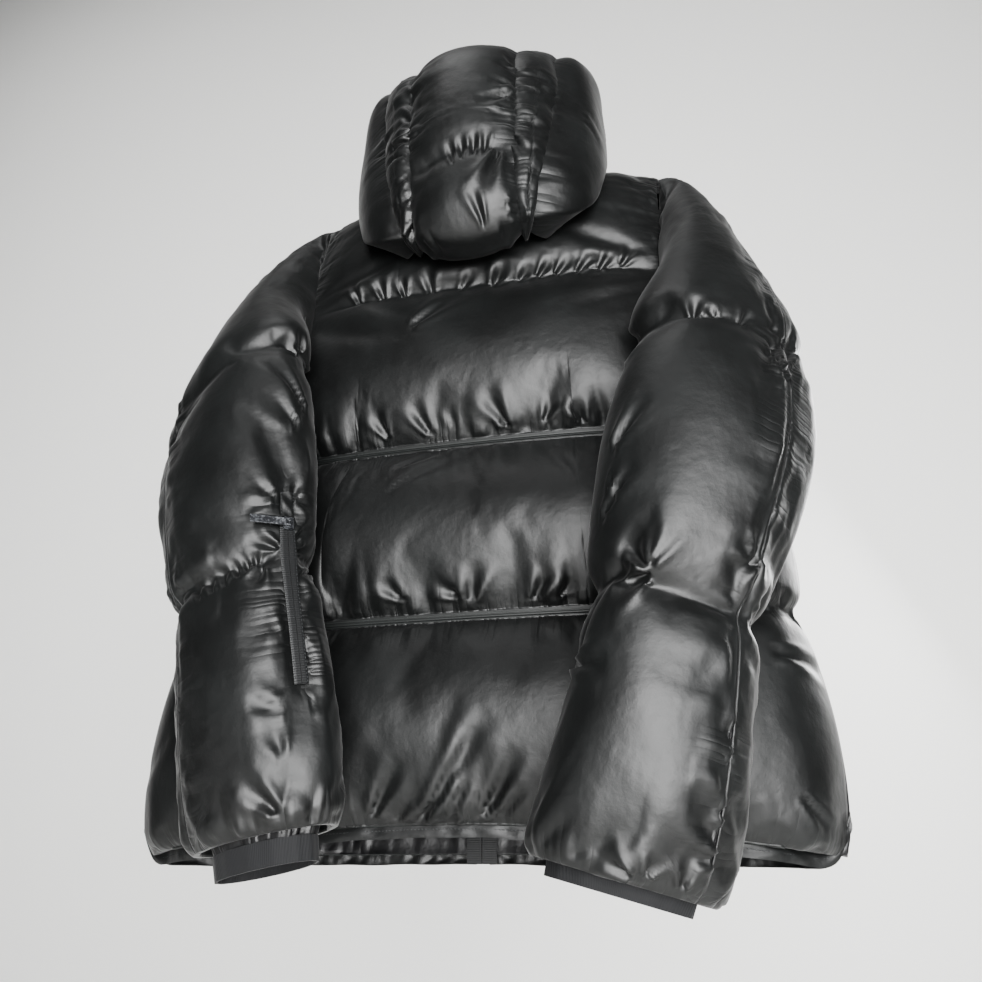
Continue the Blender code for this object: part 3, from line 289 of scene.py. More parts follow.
def lacquered(name, colour, roughness):
    # cast zinc under black lacquer, rubbed lighter in patches
    material, shader = newMaterial(name, {"Metallic": lacquer["metallic"]})
    add = partial(addNode, material)
    where = add("TexCoord", "Object", {})
    rub = add("TexNoise", "Fac", {"Vector": where, "Scale": lacquer["patches"], "Detail": 4.0,
                                  "Roughness": 0.65})
    worn = add("MapRange", "Result", {"Value": rub, "From Min": 0.45, "From Max": 0.7})
    tint = add("MixRGB", "Color", {"Fac": worn, "Color1": toLinear(colour),
                                   "Color2": toLinear(lacquer["worn"])})
    dull = add("MapRange", "Result", {"Value": rub, "From Min": 0.3, "From Max": 0.7, "To Min": roughness,
                                      "To Max": roughness + lacquer["duller"]})
    bump = add("Bump", "Normal", {"Height": rub, "Strength": lacquer["bump"], "Distance": lacquer["depth"]})
    feed(material, shader, {"Base Color": tint, "Roughness": dull, "Normal": bump})
    return material


nylon = calenderedNylon("calendered_nylon", "#0A0B0B", "#101212", 0.45, 0.32, 4.0)
lining = calenderedNylon("thin_nylon_lining", "#09090B", "#0F0F11", 0.40, 0.45, 0.0)
seamTape = woven("ribbed_quilt_tape", "#101111", "#222524", ribs, onLay=False)
ribbing = woven("woven_elastic_ribbing", "#0B0C0E", "#101114", ribbingWeave)
zipTape = woven("coated_zip_tape", "#131415", "#191A1B", zipWeave)
thread = newMaterial("sewing_thread", {"Base Color": toLinear("#2A2C2D"), "Roughness": 0.45})[0]
zipTeeth = lacquered("black_zip_teeth", "#161719", 0.32)
metal = lacquered("black_lacquered_zinc", "#2B2C2F", 0.30)


# padded panels
outsideSlot, liningSlot, edgeSlot, stripSlot = 0, 1, 2, 3


def mergedCopy(name, source):
    piece = addObject(name, nodes[source].data.copy())
    piece.data.materials.clear()
    makeActive(piece)
    bpy.ops.mesh.customdata_custom_splitnormals_clear()
    startEdit(piece)
    bpy.ops.mesh.remove_doubles(threshold=0.00002)
    bpy.ops.mesh.tris_convert_to_quads(face_threshold=math.radians(70), shape_threshold=math.radians(80))
    endEdit()
    return piece


def fetch(items, key, kind=float, width=1):
    # one value of every item, as an array
    values = np.empty(len(items) * width, kind)
    items.foreach_get(key, values)
    return values.reshape(-1, width) if width > 1 else values


def points(mesh):
    return fetch(mesh.vertices, "co", width=3)


def setPoints(mesh, values):
    mesh.vertices.foreach_set("co", np.asarray(values, np.float32).ravel())
    mesh.update()


def normalsOf(mesh):
    return fetch(mesh.vertex_normals, "vector", width=3)


def faceSlots(mesh):
    return fetch(mesh.polygons, "material_index", int)


def pointsIn(mesh, wanted):
    # which points belong to a face in one of the wanted slots
    starts = fetch(mesh.polygons, "loop_start", int)
    corners = fetch(mesh.loops, "vertex_index", int)
    owner = np.repeat(faceSlots(mesh), np.diff(np.append(starts, len(corners))))
    found = np.zeros(len(mesh.vertices), bool)
    found[corners[np.isin(owner, wanted)]] = True
    return found


def treeOf(mesh, slot=None):
    # finds the nearest place on a mesh, or on its faces in one slot
    polygons = [list(p.vertices) for p, own in zip(mesh.polygons, faceSlots(mesh)) if slot in (None, own)]
    return BVHTree.FromPolygons([v.co for v in mesh.vertices], polygons)


def edgesOf(mesh):
    return fetch(mesh.edges, "vertices", int, 2)


def unit(rows):
    # each row at length 1
    return rows / np.linalg.norm(rows, axis=-1, keepdims=True)


def relaxed(values, pairs, rounds, share=0.5):
    # evens out a value on the points with its neighbours
    count = np.bincount(pairs.ravel(), minlength=len(values)).astype(float)
    count = np.maximum(count, 1).reshape([-1] + [1] * (values.ndim - 1))
    for _ in range(rounds):
        total = np.zeros_like(values)
        np.add.at(total, pairs[:, 0], values[pairs[:, 1]])
        np.add.at(total, pairs[:, 1], values[pairs[:, 0]])
        values = values * (1 - share) + total / count * share
    return values


def keepSharp(work, sharpest):
    # sharp edges stay sharp when the mesh is smoothed
    layer = work.edges.layers.float.get("crease_edge") or work.edges.layers.float.new("crease_edge")
    for edge in work.edges:
        edge[layer] = 1.0 if math.degrees(edge.calc_face_angle(0.0)) > sharpest else 0.0


def markSkins(piece, sharpest=48, thinWall=0.0065, downward=-0.6):
    # patches part at sharp outward edges; the largest is the outside and the next the lining
    work = bmesh.new()
    work.from_mesh(piece.data)
    patches, seen = [], set()
    for start in work.faces:
        if start in seen:
            continue
        seen.add(start)
        patch, front = [], [start]
        while front:
            face = front.pop()
            patch.append(face)
            for edge in face.edges:
                if math.degrees(edge.calc_face_angle(0.0)) > sharpest and edge.is_convex:
                    continue
                for other in edge.link_faces:
                    if other not in seen:
                        seen.add(other)
                        front.append(other)
        patches.append(patch)
    patches.sort(key=lambda faces: -sum(f.calc_area() for f in faces))
    for number, patch in enumerate(patches):
        for face in patch:
            face.material_index = min(number, edgeSlot)
    lining = BVHTree.FromPolygons([v.co for v in work.verts],
                                  [[v.index for v in f.verts] for f in patches[liningSlot]])
    for face in patches[outsideSlot]:  # the flat strip at each quilting seam, where the wall is thin
        around = [other for edge in face.edges for other in edge.link_faces]
        atHem = any(other.normal.z < downward and other.material_index == edgeSlot for other in around)
        if not atHem and all(lining.find_nearest(v.co)[3] < thinWall for v in face.verts):
            face.material_index = stripSlot
    keepSharp(work, sharpest)
    work.to_mesh(piece.data)
    work.free()


def subdivide(piece, levels, keep=True, rounds=3, share=0.8):
    # the control points are first moved out, so that the smooth surface passes through the old ones
    if keep:
        old = points(piece.data)
        for _ in range(rounds):
            smooth = piece.modifiers.new("smooth", "SUBSURF")
            smooth.levels = smooth.render_levels = 1
            shown = piece.evaluated_get(bpy.context.evaluated_depsgraph_get())
            reached = points(shown.to_mesh())[:len(old)]
            shown.to_mesh_clear()
            piece.modifiers.remove(smooth)
            setPoints(piece.data, points(piece.data) + share * (old - reached))
    smooth = piece.modifiers.new("smooth", "SUBSURF")
    smooth.levels = smooth.render_levels = levels
    makeActive(piece)
    bpy.ops.object.modifier_apply(modifier="smooth")


def heldShares(piece, near=0.0050, far=0.0072):
    # 1 where the cloth is sewn down or at the panel's edge, 0 where it is free to swell
    mesh = piece.data
    place = points(mesh)
    lining = treeOf(mesh, liningSlot)
    free = pointsIn(mesh, [outsideSlot]) & ~pointsIn(mesh, [liningSlot, edgeSlot, stripSlot])
    held = np.ones(len(place))
    for k in np.nonzero(free)[0]:
        gap = lining.find_nearest(Vector(place[k]))[3]
        share = min(max((gap - near) / (far - near), 0.0), 1.0)
        held[k] = 1 - share * share * (3 - 2 * share)
    return held


def spread(rail, count):
    # evenly spaced points, in metres, on a smooth line through the rail's points, in millimetres
    rail = np.array(rail, float) / 1000
    reach = np.append(0, np.cumsum(np.linalg.norm(np.diff(rail, axis=0), axis=1)))
    slope = np.gradient(rail, reach, axis=0)
    at = np.linspace(0, reach[-1], count)
    k = np.clip(np.searchsorted(reach, at, side="right") - 1, 0, len(reach) - 2)
    span = (reach[k + 1] - reach[k])[:, None]
    u = (at - reach[k])[:, None] / span
    leaving = (1 + 2 * u) * (1 - u) ** 2 * rail[k] + u * (1 - u) ** 2 * span * slope[k]
    return leaving + u * u * (3 - 2 * u) * rail[k + 1] + u * u * (u - 1) * span * slope[k + 1]


def holdFlat(piece, held, line, near, far):
    # the cloth stays down along a line, in millimetres, where something is sewn onto it
    place = points(piece.data)
    gap = np.linalg.norm(place[:, None] - spread(line, 60)[None], axis=2).min(axis=1)
    share = np.clip((far - gap) / (far - near), 0, 1)
    return np.maximum(held, share * share * (3 - 2 * share))


def mark(piece, name, kind, part, values):
    # keeps a value with every point, for the materials
    layer = piece.data.attributes.new(name, kind, "POINT")
    layer.data.foreach_set(part, np.asarray(values, np.float32).ravel())


def giveLay(piece, values):
    # where each point lies on the flat piece, in metres, for the weave
    mark(piece, "lay", "FLOAT_VECTOR", "vector", values)


def nearestSeam(piece, held):
    # for every point, the place on the nearest seam and how far off it is
    place = points(piece.data)
    sewn = np.nonzero((held > 0.9) & ~pointsIn(piece.data, [liningSlot]))[0]
    tree = KDTree(len(sewn))
    for k in sewn:
        tree.insert(place[k], int(k))
    tree.balance()
    foot, away = place.copy(), np.zeros(len(place))
    for k in np.nonzero(held <= 0.9)[0]:
        found = tree.find_n(place[k], 4)
        weights = np.array([1 / (0.0005 + gap) for _, _, gap in found])
        foot[k] = sum(w * np.array(co) for w, (co, _, _) in zip(weights, found)) / weights.sum()
        away[k] = found[0][2]
    return foot, away


def swell(piece, held, look):
    # the outside alone is blown up as cloth, held at its seams, and set back on the piece
    before = points(piece.data)
    foot, away = nearestSeam(piece, held)
    over = np.where(before[:, 2] > foot[:, 2], 1.0, look["under"])
    patchy = np.array([noise.noise(Vector(p) * look["patches"]) for p in foot])
    patchy = look["even"] + look["uneven"] * patchy
    slack = np.clip(over * patchy, 0, 1) * np.exp(-(away / look["reach"]) ** 2)
    home = piece.data.attributes.new("home", "INT", "POINT")
    home.data.foreach_set("value", np.arange(len(held), dtype=np.int32))
    skin = piece.copy()
    skin.data = piece.data.copy()
    bpy.context.scene.collection.objects.link(skin)
    heldGroup = skin.vertex_groups.new(name="held")
    looseGroup = skin.vertex_groups.new(name="loose")
    for k in range(len(held)):
        heldGroup.add([k], float(held[k]), "REPLACE")
        looseGroup.add([k], float(slack[k]), "REPLACE")
    startEdit(skin)
    choose(skin, "FACE", lambda face: face.material_index in (liningSlot, edgeSlot))
    bpy.ops.mesh.delete(type="FACE")
    endEdit()
    cloth = skin.modifiers.new("cloth", "CLOTH")
    setting = cloth.settings
    setting.quality = look["steps"]
    setting.mass = look["mass"]
    setting.tension_stiffness = setting.compression_stiffness = look["stretch"]
    setting.shear_stiffness = look["shear"]
    setting.bending_stiffness = look["bend"]
    setting.use_pressure = True
    setting.uniform_pressure_force = look["pressure"]
    setting.shrink_min = -look["slack"]
    setting.shrink_max = -look["gather"]
    setting.vertex_group_shrink = "loose"
    setting.vertex_group_mass = "held"
    setting.effector_weights.gravity = 0
    cloth.collision_settings.use_collision = False
    cloth.point_cache.frame_start, cloth.point_cache.frame_end = 1, look["frames"]
    for number in range(1, look["frames"] + 1):
        bpy.context.scene.frame_set(number)
    makeActive(skin)
    bpy.ops.object.modifier_apply(modifier="cloth")
    ids = fetch(skin.data.attributes["home"].data, "value", np.int32)
    after = before.copy()
    after[ids] = points(skin.data)
    moved = after - before
    length = np.linalg.norm(moved, axis=1, keepdims=True)
    moved *= np.minimum(1.0, look["most"] / np.maximum(length, 1e-9))
    setPoints(piece.data, before + moved)
    piece.data.attributes.remove(piece.data.attributes["home"])
    bpy.data.objects.remove(skin)
    bpy.context.scene.frame_set(1)


def lobes(place, size, seed, power=0.75, height=1.6):
    # rounded lobes with sharp valleys between them, from 0 in a valley to about 1
    return abs(noise.noise(Vector(place) / size + Vector((seed, 2.7 * seed, 0.0)))) ** power * height


def gatherSeams(piece, look, held, foot, away):
    # gathers run straight off every seam: the same all along a line square to it, dying out with distance
    mesh = piece.data
    place, facing = points(mesh), normalsOf(mesh)
    moved = np.zeros(len(place))
    over = np.where(place[:, 2] > foot[:, 2], 1.0, look["under"])
    for k in np.nonzero((held < 0.999) & (away < 4 * look["long"]))[0]:
        spot, gap = foot[k], away[k]
        strong = 0.5 + 0.5 * noise.noise(Vector(spot) / look["patch"] + Vector((5.0, 1.0, look["seed"])))
        strong = min(max(look["gain"] * strong - look["less"], look["weakest"]), look["strongest"])
        rise = min(gap / look["rise"], 1.0)
        short = lobes(spot, look["fine"], look["seed"]) - look["level"]
        short *= math.exp(-(gap / look["short"]) ** 1.4)
        wander = spot + (place[k] - spot) * look["wander"]
        longer = lobes(wander, look["coarse"], look["seed"] + 9) - look["level"]
        longer *= math.exp(-(gap / look["long"]) ** 1.6)
        moved[k] = over[k] * strong * rise * (look["low"] * short + look["high"] * longer)
    moved = relaxed(moved, edgesOf(mesh), 1)
    setPoints(mesh, place + facing * moved[:, None])


def pinch(piece, folds, look):
    # each fold runs from its foot on a seam to its tip: a valley with a ridge on either side
    mesh = piece.data
    place, facing = points(mesh), normalsOf(mesh)
    free = pointsIn(mesh, [outsideSlot])
    moved = np.zeros(len(place))
    for fold in folds:
        parts = (fold[:3], fold[3:6], fold[6:])
        footPoint, tipPoint, (width, depth) = (np.array(part) / 1000 for part in parts)
        span = np.linalg.norm(tipPoint - footPoint)
        ahead = (tipPoint - footPoint) / span
        middle = (footPoint + tipPoint) / 2
        close = np.nonzero(free & (np.linalg.norm(place - middle, axis=1) < span * 0.75 + 4 * width))[0]
        if not len(close):
            continue
        nearFoot = close[np.argmin(np.linalg.norm(place[close] - footPoint, axis=1))]
        out = facing[nearFoot]
        side = unit(np.cross(out, ahead))
        rel = place[close] - footPoint
        along = rel @ ahead / span
        wide = width * (look["narrow"] + (1 - look["narrow"]) * np.clip(along, 0, 1.2))
        across = (rel @ side) / wide
        onSkin = (np.abs(rel @ out) < look["deepest"]) & (facing[close] @ out > -0.1)
        strength = np.clip(along / look["start"] + 0.6, 0, 1) * np.clip(1 - along, 0, 1) ** 0.8
        ridges = look["ridge"] * np.exp(-(np.abs(across) - look["ridgeAt"]) ** 2 / look["ridgeWide"])
        moved[close] -= depth * strength * onSkin * (np.exp(-across ** 2) - ridges)
    setPoints(mesh, place + facing * moved[:, None])


# folds, listed: foot on a seam, tip, half width and depth, all in millimetres
folds = {
    "back_panel": [
        (-54, 71, -323, -38, 86, -283, 9, 7), (27, 72, -323, 44, 85, -291, 8, 6),
        (75, 72, -323, 85, 82, -296, 7, 5), (-132, 66, -326, -125, 80, -306, 8, 6),
        (-94, 72, -323, -106, 80, -303, 6, 4), (0, 72, -323, 5, 83, -298, 6, 3.5),
        (-20, 77, -508, -26, 87, -473, 10, 7), (-80, 73, -510, -95, 85, -483, 8, 6),
        (-6, 78, -505, 18, 84, -486, 9, 5), (48, 78, -504, 68, 86, -483, 8, 5),
        (-103, 73, -510, -118, 79, -496, 6, 3), (30, 65, -139, 33, 77, -110, 8, 5),
        (-45, 64, -141, -64, 78, -117, 9, 7), (87, 65, -137, 93, 77, -111, 7, 5),
        (116, 65, -138, 125, 75, -112, 6, 4), (-74, 64, -141, -90, 73, -127, 6, 4),
        (-94, 65, -139, -113, 73, -122, 6, 4), (-115, 64, -140, -135, 72, -123, 6, 4),
        (-138, 65, -139, -158, 76, -122, 6, 4.5), (-160, 65, -139, -178, 74, -119, 6, 4),
        (-182, 65, -137, -199, 69, -116, 6, 3.5), (-7, 64, -140, -24, 75, -122, 6, 4),
        (62, 65, -139, 65, 74, -116, 6, 4), (64, 75, -693, 39, 89, -646, 8, 6),
        (21, 71, -694, -39, 89, -605, 9, 7), (-5, 71, -696, -28, 90, -636, 8, 6),
        (-32, 75, -694, -64, 89, -639, 8, 7), (-40, 78, -689, -61, 88, -657, 6, 4),
        (43, 72, -695, 27, 84, -674, 6, 4), (5, 75, -695, -8, 86, -673, 6, 4),
        (-51, 75, -692, -67, 86, -667, 6, 4), (61, 78, -365, 2, 62, -336, 10, 2.5),
        (60, 85, -393, -16, 70, -349, 10, 2.5), (45, 82, -203, -8, 69, -158, 12, 4),
        (-297, 21, -516, -302, 31, -500, 8, 5), (-281, 53, -564, -327, 0, -575, 9, 5),
        (-286, 56, -681, -311, 20, -712, 8, 4),
    ],
    "hood_middle": [
        (-85, 158, 74, -67, 176, 85, 7, 5), (-84, 162, 52, -57, 181, 47, 7, 4),
        (-80, 168, 37, -42, 178, 18, 8, 4), (-41, 182, -50, -44, 183, -23, 5, 4),
        (-29, 183, -53, -28, 184, -25, 5, 3), (-19, 183, -57, -13, 183, -29, 5, 3),
        (-54, 180, -48, -57, 180, -19, 5, 3), (-68, 175, -50, -47, 169, -107, 10, 7),
        (-48, 154, -126, -37, 176, -90, 7, 4), (-74, 160, -111, -98, 148, -110, 5, 4),
        (-75, 153, -121, -97, 146, -118, 5, 4),
    ],
    "hood_strip_left": [
        (26, 169, 51, 57, 156, 86, 5, 5), (29, 167, 39, 68, 146, 75, 5, 4), (27, 169, 21, 61, 151, 50, 5, 4),
        (28, 164, 11, 55, 161, 8, 5, 4), (30, 165, -5, 59, 155, -3, 5, 4), (33, 162, -32, 67, 145, -21, 5, 5),
        (35, 159, -55, 50, 159, -63, 5, 4), (32, 155, -76, 45, 154, -82, 5, 4),
        (25, 160, -106, 41, 151, -104, 5, 4), (27, 147, -117, 50, 134, -112, 5, 4),
    ],
    "hood_strip_right": [
        (-87, 158, 68, -122, 145, 74, 6, 5), (-89, 159, 49, -116, 148, 47, 5, 4),
        (-114, 151, 57, -131, 134, 56, 5, 4), (-82, 166, -29, -102, 162, -51, 7, 5),
    ],
    "sleeve_left_back": [
        (145, 147, -255, 155, 163, -241, 6, 5), (145, 137, -248, 143, 151, -230, 6, 5),
        (157, 56, -338, 134, 171, -345, 8, 5), (128, 167, -354, 160, 183, -319, 9, 6),
        (134, 171, -355, 163, 186, -333, 7, 4), (125, 159, -329, 176, 172, -275, 8, 5),
        (165, 76, -246, 143, 162, -276, 6, 5), (132, 183, -436, 148, 195, -425, 7, 5),
        (123, 171, -434, 117, 166, -412, 6, 5), (134, 186, -440, 154, 196, -451, 6, 5),
        (122, 170, -431, 109, 154, -438, 6, 5), (114, 169, -469, 108, 150, -450, 5, 4),
        (113, 167, -483, 108, 147, -470, 5, 4), (107, 168, -504, 134, 83, -483, 5, 4),
        (97, 174, -557, 91, 167, -547, 5, 4), (93, 173, -571, 86, 170, -576, 5, 4),
        (125, 182, -483, 147, 194, -476, 7, 5), (134, 185, -502, 138, 194, -522, 8, 6),
        (108, 188, -561, 117, 195, -557, 6, 4), (96, 192, -621, 124, 201, -618, 7, 6),
        (82, 177, -616, 75, 172, -613, 5, 4), (184, 191, -529, 195, 184, -511, 5, 3.5),
        (173, 192, -524, 182, 189, -507, 5, 3.5), (163, 192, -518, 170, 191, -500, 5, 3.5),
        (153, 190, -510, 159, 192, -493, 5, 3.5), (145, 188, -505, 151, 192, -487, 5, 3.5),
        (140, 186, -500, 143, 191, -484, 5, 3.5), (95, 190, -693, 132, 198, -664, 10, 4),
        (93, 195, -652, 110, 199, -631, 10, 3),
    ],
    "sleeve_right_back": [
        (-242, 163, -295, -247, 167, -273, 7, 5), (-277, 153, -300, -290, 151, -282, 6, 4),
        (-257, 160, -295, -251, 165, -283, 5, 3), (-173, 79, -244, -211, 166, -302, 8, 5),
        (-175, 160, -324, -189, 161, -305, 6, 4), (-166, 183, -420, -202, 188, -383, 9, 6),
        (-163, 187, -464, -185, 192, -446, 8, 6), (-159, 184, -455, -176, 190, -442, 6, 4),
        (-152, 182, -481, -170, 189, -463, 6, 4), (-309, 154, -342, -310, 137, -304, 6, 6),
        (-309, 154, -342, -317, 149, -361, 6, 5), (-186, 193, -527, -170, 189, -502, 9, 6),
        (-186, 193, -527, -186, 194, -501, 6, 5), (-186, 193, -527, -196, 195, -499, 6, 4),
        (-186, 193, -527, -210, 194, -497, 6, 3), (-186, 191, -531, -158, 180, -532, 8, 6),
        (-263, 174, -524, -244, 181, -531, 8, 6), (-263, 174, -524, -250, 183, -508, 7, 5),
        (-263, 174, -524, -268, 176, -497, 6, 4), (-123, 174, -592, -152, 194, -601, 9, 6),
        (-238, 169, -657, -217, 188, -636, 8, 5), (-217, 165, -722, -185, 197, -676, 10, 4),
        (-221, 172, -699, -198, 192, -682, 8, 4), (-155, 187, -734, -135, 189, -719, 7, 5),
        (-165, 185, -734, -174, 187, -722, 6, 5), (-215, 166, -724, -176, 187, -718, 8, 4),
        (-187, 173, -741, -194, 179, -725, 6, 3),
    ],
    "sleeve_right_front": [
        (-309, 154, -342, -335, 111, -292, 6, 6), (-263, 174, -524, -254, 159, -562, 7, 5),
        (-277, 174, -479, -278, 169, -504, 6, 4),
    ],
}

# the cloth: swollen by pressure and made larger by slack, but no point goes further than most
clothLook = {"steps": 4, "mass": 0.15, "stretch": 15.0, "shear": 5.0, "bend": 0.3, "pressure": 6.0,
             "slack": 0.010, "gather": 0.09, "under": 0.5, "reach": 0.040, "patches": 9.0, "even": 0.55,
             "uneven": 0.9, "frames": 20, "most": 0.014}
hoodCloth = {"pressure": 4.0, "slack": 0.004, "most": 0.006}
# gathers: spacing, reach off the seam and height of the short and the long ones
gatherLook = {"fine": 0.011, "coarse": 0.022, "short": 0.016, "long": 0.036, "low": 0.0045, "high": 0.0060,
              "patch": 0.075, "under": 0.45, "seed": 3.0, "rise": 0.007, "gain": 2.2, "less": 0.45,
              "weakest": 0.12, "strongest": 1.25, "level": 0.42, "wander": 0.25}
foldLook = {"narrow": 0.30, "deepest": 0.05, "start": 0.06, "ridge": 0.62, "ridgeAt": 1.7, "ridgeWide": 0.8}

tapeRise = 0.0007
zipBed = {"line": [(125, 177, -424), (121.7, 176.7, -452), (116.3, 177.8, -484), (110.4, 178.7, -511),
                   (100.2, 179.5, -554), (89.5, 180, -603)], "near": 0.0085, "far": 0.017}
# sink is the drop at each x, in full above to and none below from
hoodLook = {"sink": [(-0.16, -0.003), (-0.12, -0.004), (-0.085, 0.004), (-0.05, 0.010), (-0.01, 0.013),
                     (0.03, 0.014), (0.06, 0.005), (0.10, 0.002)],
            "from": 0.09, "to": 0.20, "seam": 0.0065, "reach": 0.013, "bottom": -0.13, "fade": 0.05}
# course: where the change starts, the seam's height, its height in the solid, where the change ends
hoodSeam = {"course": (-0.105, -0.052, 0.004, 0.11), "slant": -0.15, "kept": 0.3, "middle": -0.03,
            "behind": 0.135}
liningLook = {"size": 0.011, "drawn": 0.22, "lean": 0.15, "level": 0.3, "depth": 0.0035, "high": 0.075,
              "even": 0.0012}
seamLook = {"reach": 0.0050, "left": 0.0002, "follow": 1.5}


def shapeHood(piece, look):
    # the crown lies flatter than the filling would push it, slanting down to the wearer's left
    place = points(piece.data)
    high = np.clip((place[:, 2] - look["from"]) / (look["to"] - look["from"]), 0, 1)
    sink = np.interp(place[:, 0], *zip(*look["sink"]))
    place[:, 2] -= sink * high * high * (3 - 2 * high)
    setPoints(piece.data, place)


def lowerSeam(piece, look):
    # the seam across the hood slides down: each point takes the wall thickness found that much higher up
    mesh = piece.data
    place = points(mesh)
    lining = treeOf(mesh, liningSlot)
    free = pointsIn(mesh, [outsideSlot, stripSlot]) & ~pointsIn(mesh, [liningSlot, edgeSlot])
    low, seam, sewn, high = look["course"]
    chosen = np.nonzero(free & (place[:, 1] > look["behind"]))[0]
    feet = np.array([lining.find_nearest(Vector(place[k]))[0] for k in chosen])
    wall = place[chosen] - feet
    thick = np.linalg.norm(wall, axis=1)
    slant = look["slant"] * (place[chosen, 0] - look["middle"])
    wanted = np.interp(place[chosen, 2] - slant, (low, seam, high), (low, sewn, high))
    wanted += slant * look["kept"]
    tree = KDTree(len(chosen))
    for number, spot in enumerate(place[chosen]):
        tree.insert((spot[0], 0.0, spot[2]), number)
    tree.balance()
    found = []
    for spot, z in zip(place[chosen], wanted):
        near = tree.find_n((spot[0], 0.0, z), 4)
        weights = np.array([1 / (0.0003 + gap) for _, _, gap in near])
        found.append(float((weights * thick[[number for _, number, _ in near]]).sum() / weights.sum()))
    place[chosen] = feet + wall / thick[:, None] * np.array(found)[:, None]
    setPoints(mesh, place)
    slots = faceSlots(mesh)
    slots[slots == stripSlot] = outsideSlot
    mesh.polygons.foreach_set("material_index", slots.astype(np.int32))


def fillSeams(piece, look, away):
    # the gathered strips and the pieces beside them meet almost flush, so their edges are filled out
    mesh = piece.data
    edges = edgesOf(mesh)
    free = ~pointsIn(mesh, [liningSlot])
    out = relaxed(normalsOf(mesh) * pointsIn(mesh, [outsideSlot])[:, None], edges, 12)
    out /= np.maximum(np.linalg.norm(out, axis=1, keepdims=True), 1e-9)
    place = points(mesh)
    low = np.clip((place[:, 2] - look["bottom"]) / look["fade"], 0, 1)
    share = np.exp(-(away / look["reach"]) ** 2) * free * low
    setPoints(mesh, place + out * (look["seam"] * share)[:, None])


def gatherLining(piece, look):
    # the thin lining is cut larger than the shell, so it hangs in small upright pleats above the hem
    mesh = piece.data
    place, facing = points(mesh), normalsOf(mesh)
    wanted = pointsIn(mesh, [liningSlot]) & ~pointsIn(mesh, [outsideSlot, edgeSlot, stripSlot])
    low = place[:, 2].min()
    moved = np.zeros(len(place))
    for k in np.nonzero(wanted)[0]:
        x, y, z = place[k]
        lift = math.exp(-((z - low) / look["high"]) ** 2)
        pleat = lobes((x + look["lean"] * z, y, z * look["drawn"]), look["size"], 6.0) - look["level"]
        moved[k] = pleat * (look["even"] + look["depth"] * lift)
    setPoints(mesh, place + facing * moved[:, None])


def closeSeam(piece, others, look):
    # the sewn edge is drawn up against the panels that it is sewn to
    mesh = piece.data
    place = points(mesh)
    moved = np.zeros_like(place)
    sewn = pointsIn(mesh, [edgeSlot])
    trees = [treeOf(other.data) for other in others]
    for k in np.nonzero(sewn)[0]:
        found = [tree.find_nearest(Vector(place[k]), look["reach"]) for tree in trees]
        found = [(gap, spot) for spot, _, _, gap in found if spot is not None]
        if found:
            gap, spot = min(found, key=lambda pair: pair[0])
            moved[k] = (np.array(spot) - place[k]) * max(0.0, 1 - look["left"] / max(gap, 1e-9))
    near = relaxed(moved, edgesOf(mesh), 2)
    free = ~sewn & ~pointsIn(mesh, [liningSlot])
    moved[free] = near[free] * look["follow"]
    setPoints(mesh, place + moved)


def raiseTape(piece, rise):
    # the tape is sewn on flat: its faces are lifted off the cloth with a step round them
    if (faceSlots(piece.data) == stripSlot).any():
        startEdit(piece)
        choose(piece, "FACE", lambda face: face.material_index == stripSlot)
        bpy.ops.mesh.extrude_region_shrink_fatten(TRANSFORM_OT_shrink_fatten={"value": rise})
        endEdit()


bodyPanels = ["back_panel", "front_left", "front_right"]
sleevePanels = ["sleeve_left_back", "sleeve_left_front", "sleeve_right_back", "sleeve_right_front"]
hoodPanels = ["hood_middle", "hood_strip_left", "hood_strip_right", "hood_side_left", "hood_side_right"]
panels = bodyPanels + sleevePanels + hoodPanels + ["collar"]
puffed = {}
for panel in panels:
    piece = mergedCopy("puffed_" + panel, panel)
    if panel in hoodPanels:
        shapeHood(piece, hoodLook)
    markSkins(piece)
    subdivide(piece, 2)
    if panel == "hood_middle":
        lowerSeam(piece, hoodSeam)
    held = heldShares(piece)
    if panel == "sleeve_left_back":
        held = holdFlat(piece, held, **zipBed)
    swell(piece, held, {**clothLook, **(hoodCloth if panel in hoodPanels else {})})
    if panel != "collar":  # the collar is small and plain enough as it is
        subdivide(piece, 1, keep=False)
    held = heldShares(piece)
    if panel == "sleeve_left_back":
        held = holdFlat(piece, held, **zipBed)
    foot, away = nearestSeam(piece, held)
    if panel in hoodPanels:
        fillSeams(piece, hoodLook, away)
    gatherSeams(piece, gatherLook, held, foot, away)
    mark(piece, "foot", "FLOAT_VECTOR", "vector", relaxed(foot, edgesOf(piece.data), 8))
    mark(piece, "away", "FLOAT", "value", away)
    pinch(piece, folds.get(panel, []), foldLook)
    if panel in bodyPanels:
        gatherLining(piece, liningLook)
    makeActive(piece)
    bpy.ops.object.shade_smooth()
    for finish in (nylon, lining, nylon, seamTape):
        piece.data.materials.append(finish)
    raiseTape(piece, tapeRise)
    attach(piece, "jacket")
    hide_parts(panel)
    puffed[panel] = piece
    print("puffed", panel, len(piece.data.polygons))

for panel in panels[len(bodyPanels):]:
    closeSeam(puffed[panel], [puffed[other] for other in bodyPanels], seamLook)
for panel in bodyPanels:
    closeSeam(puffed[panel], [puffed[other] for other in sleevePanels], seamLook)
print("seams closed")


# strips, tubes and stitches
def dress(piece, look, slot, *replaced):
    piece.data.materials.clear()
    piece.data.materials.append(look)
    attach(piece, "jacket")
    if replaced:
        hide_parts(*replaced)
    makeActive(piece)
    bpy.ops.object.shade_smooth_by_angle(angle=math.radians(40))


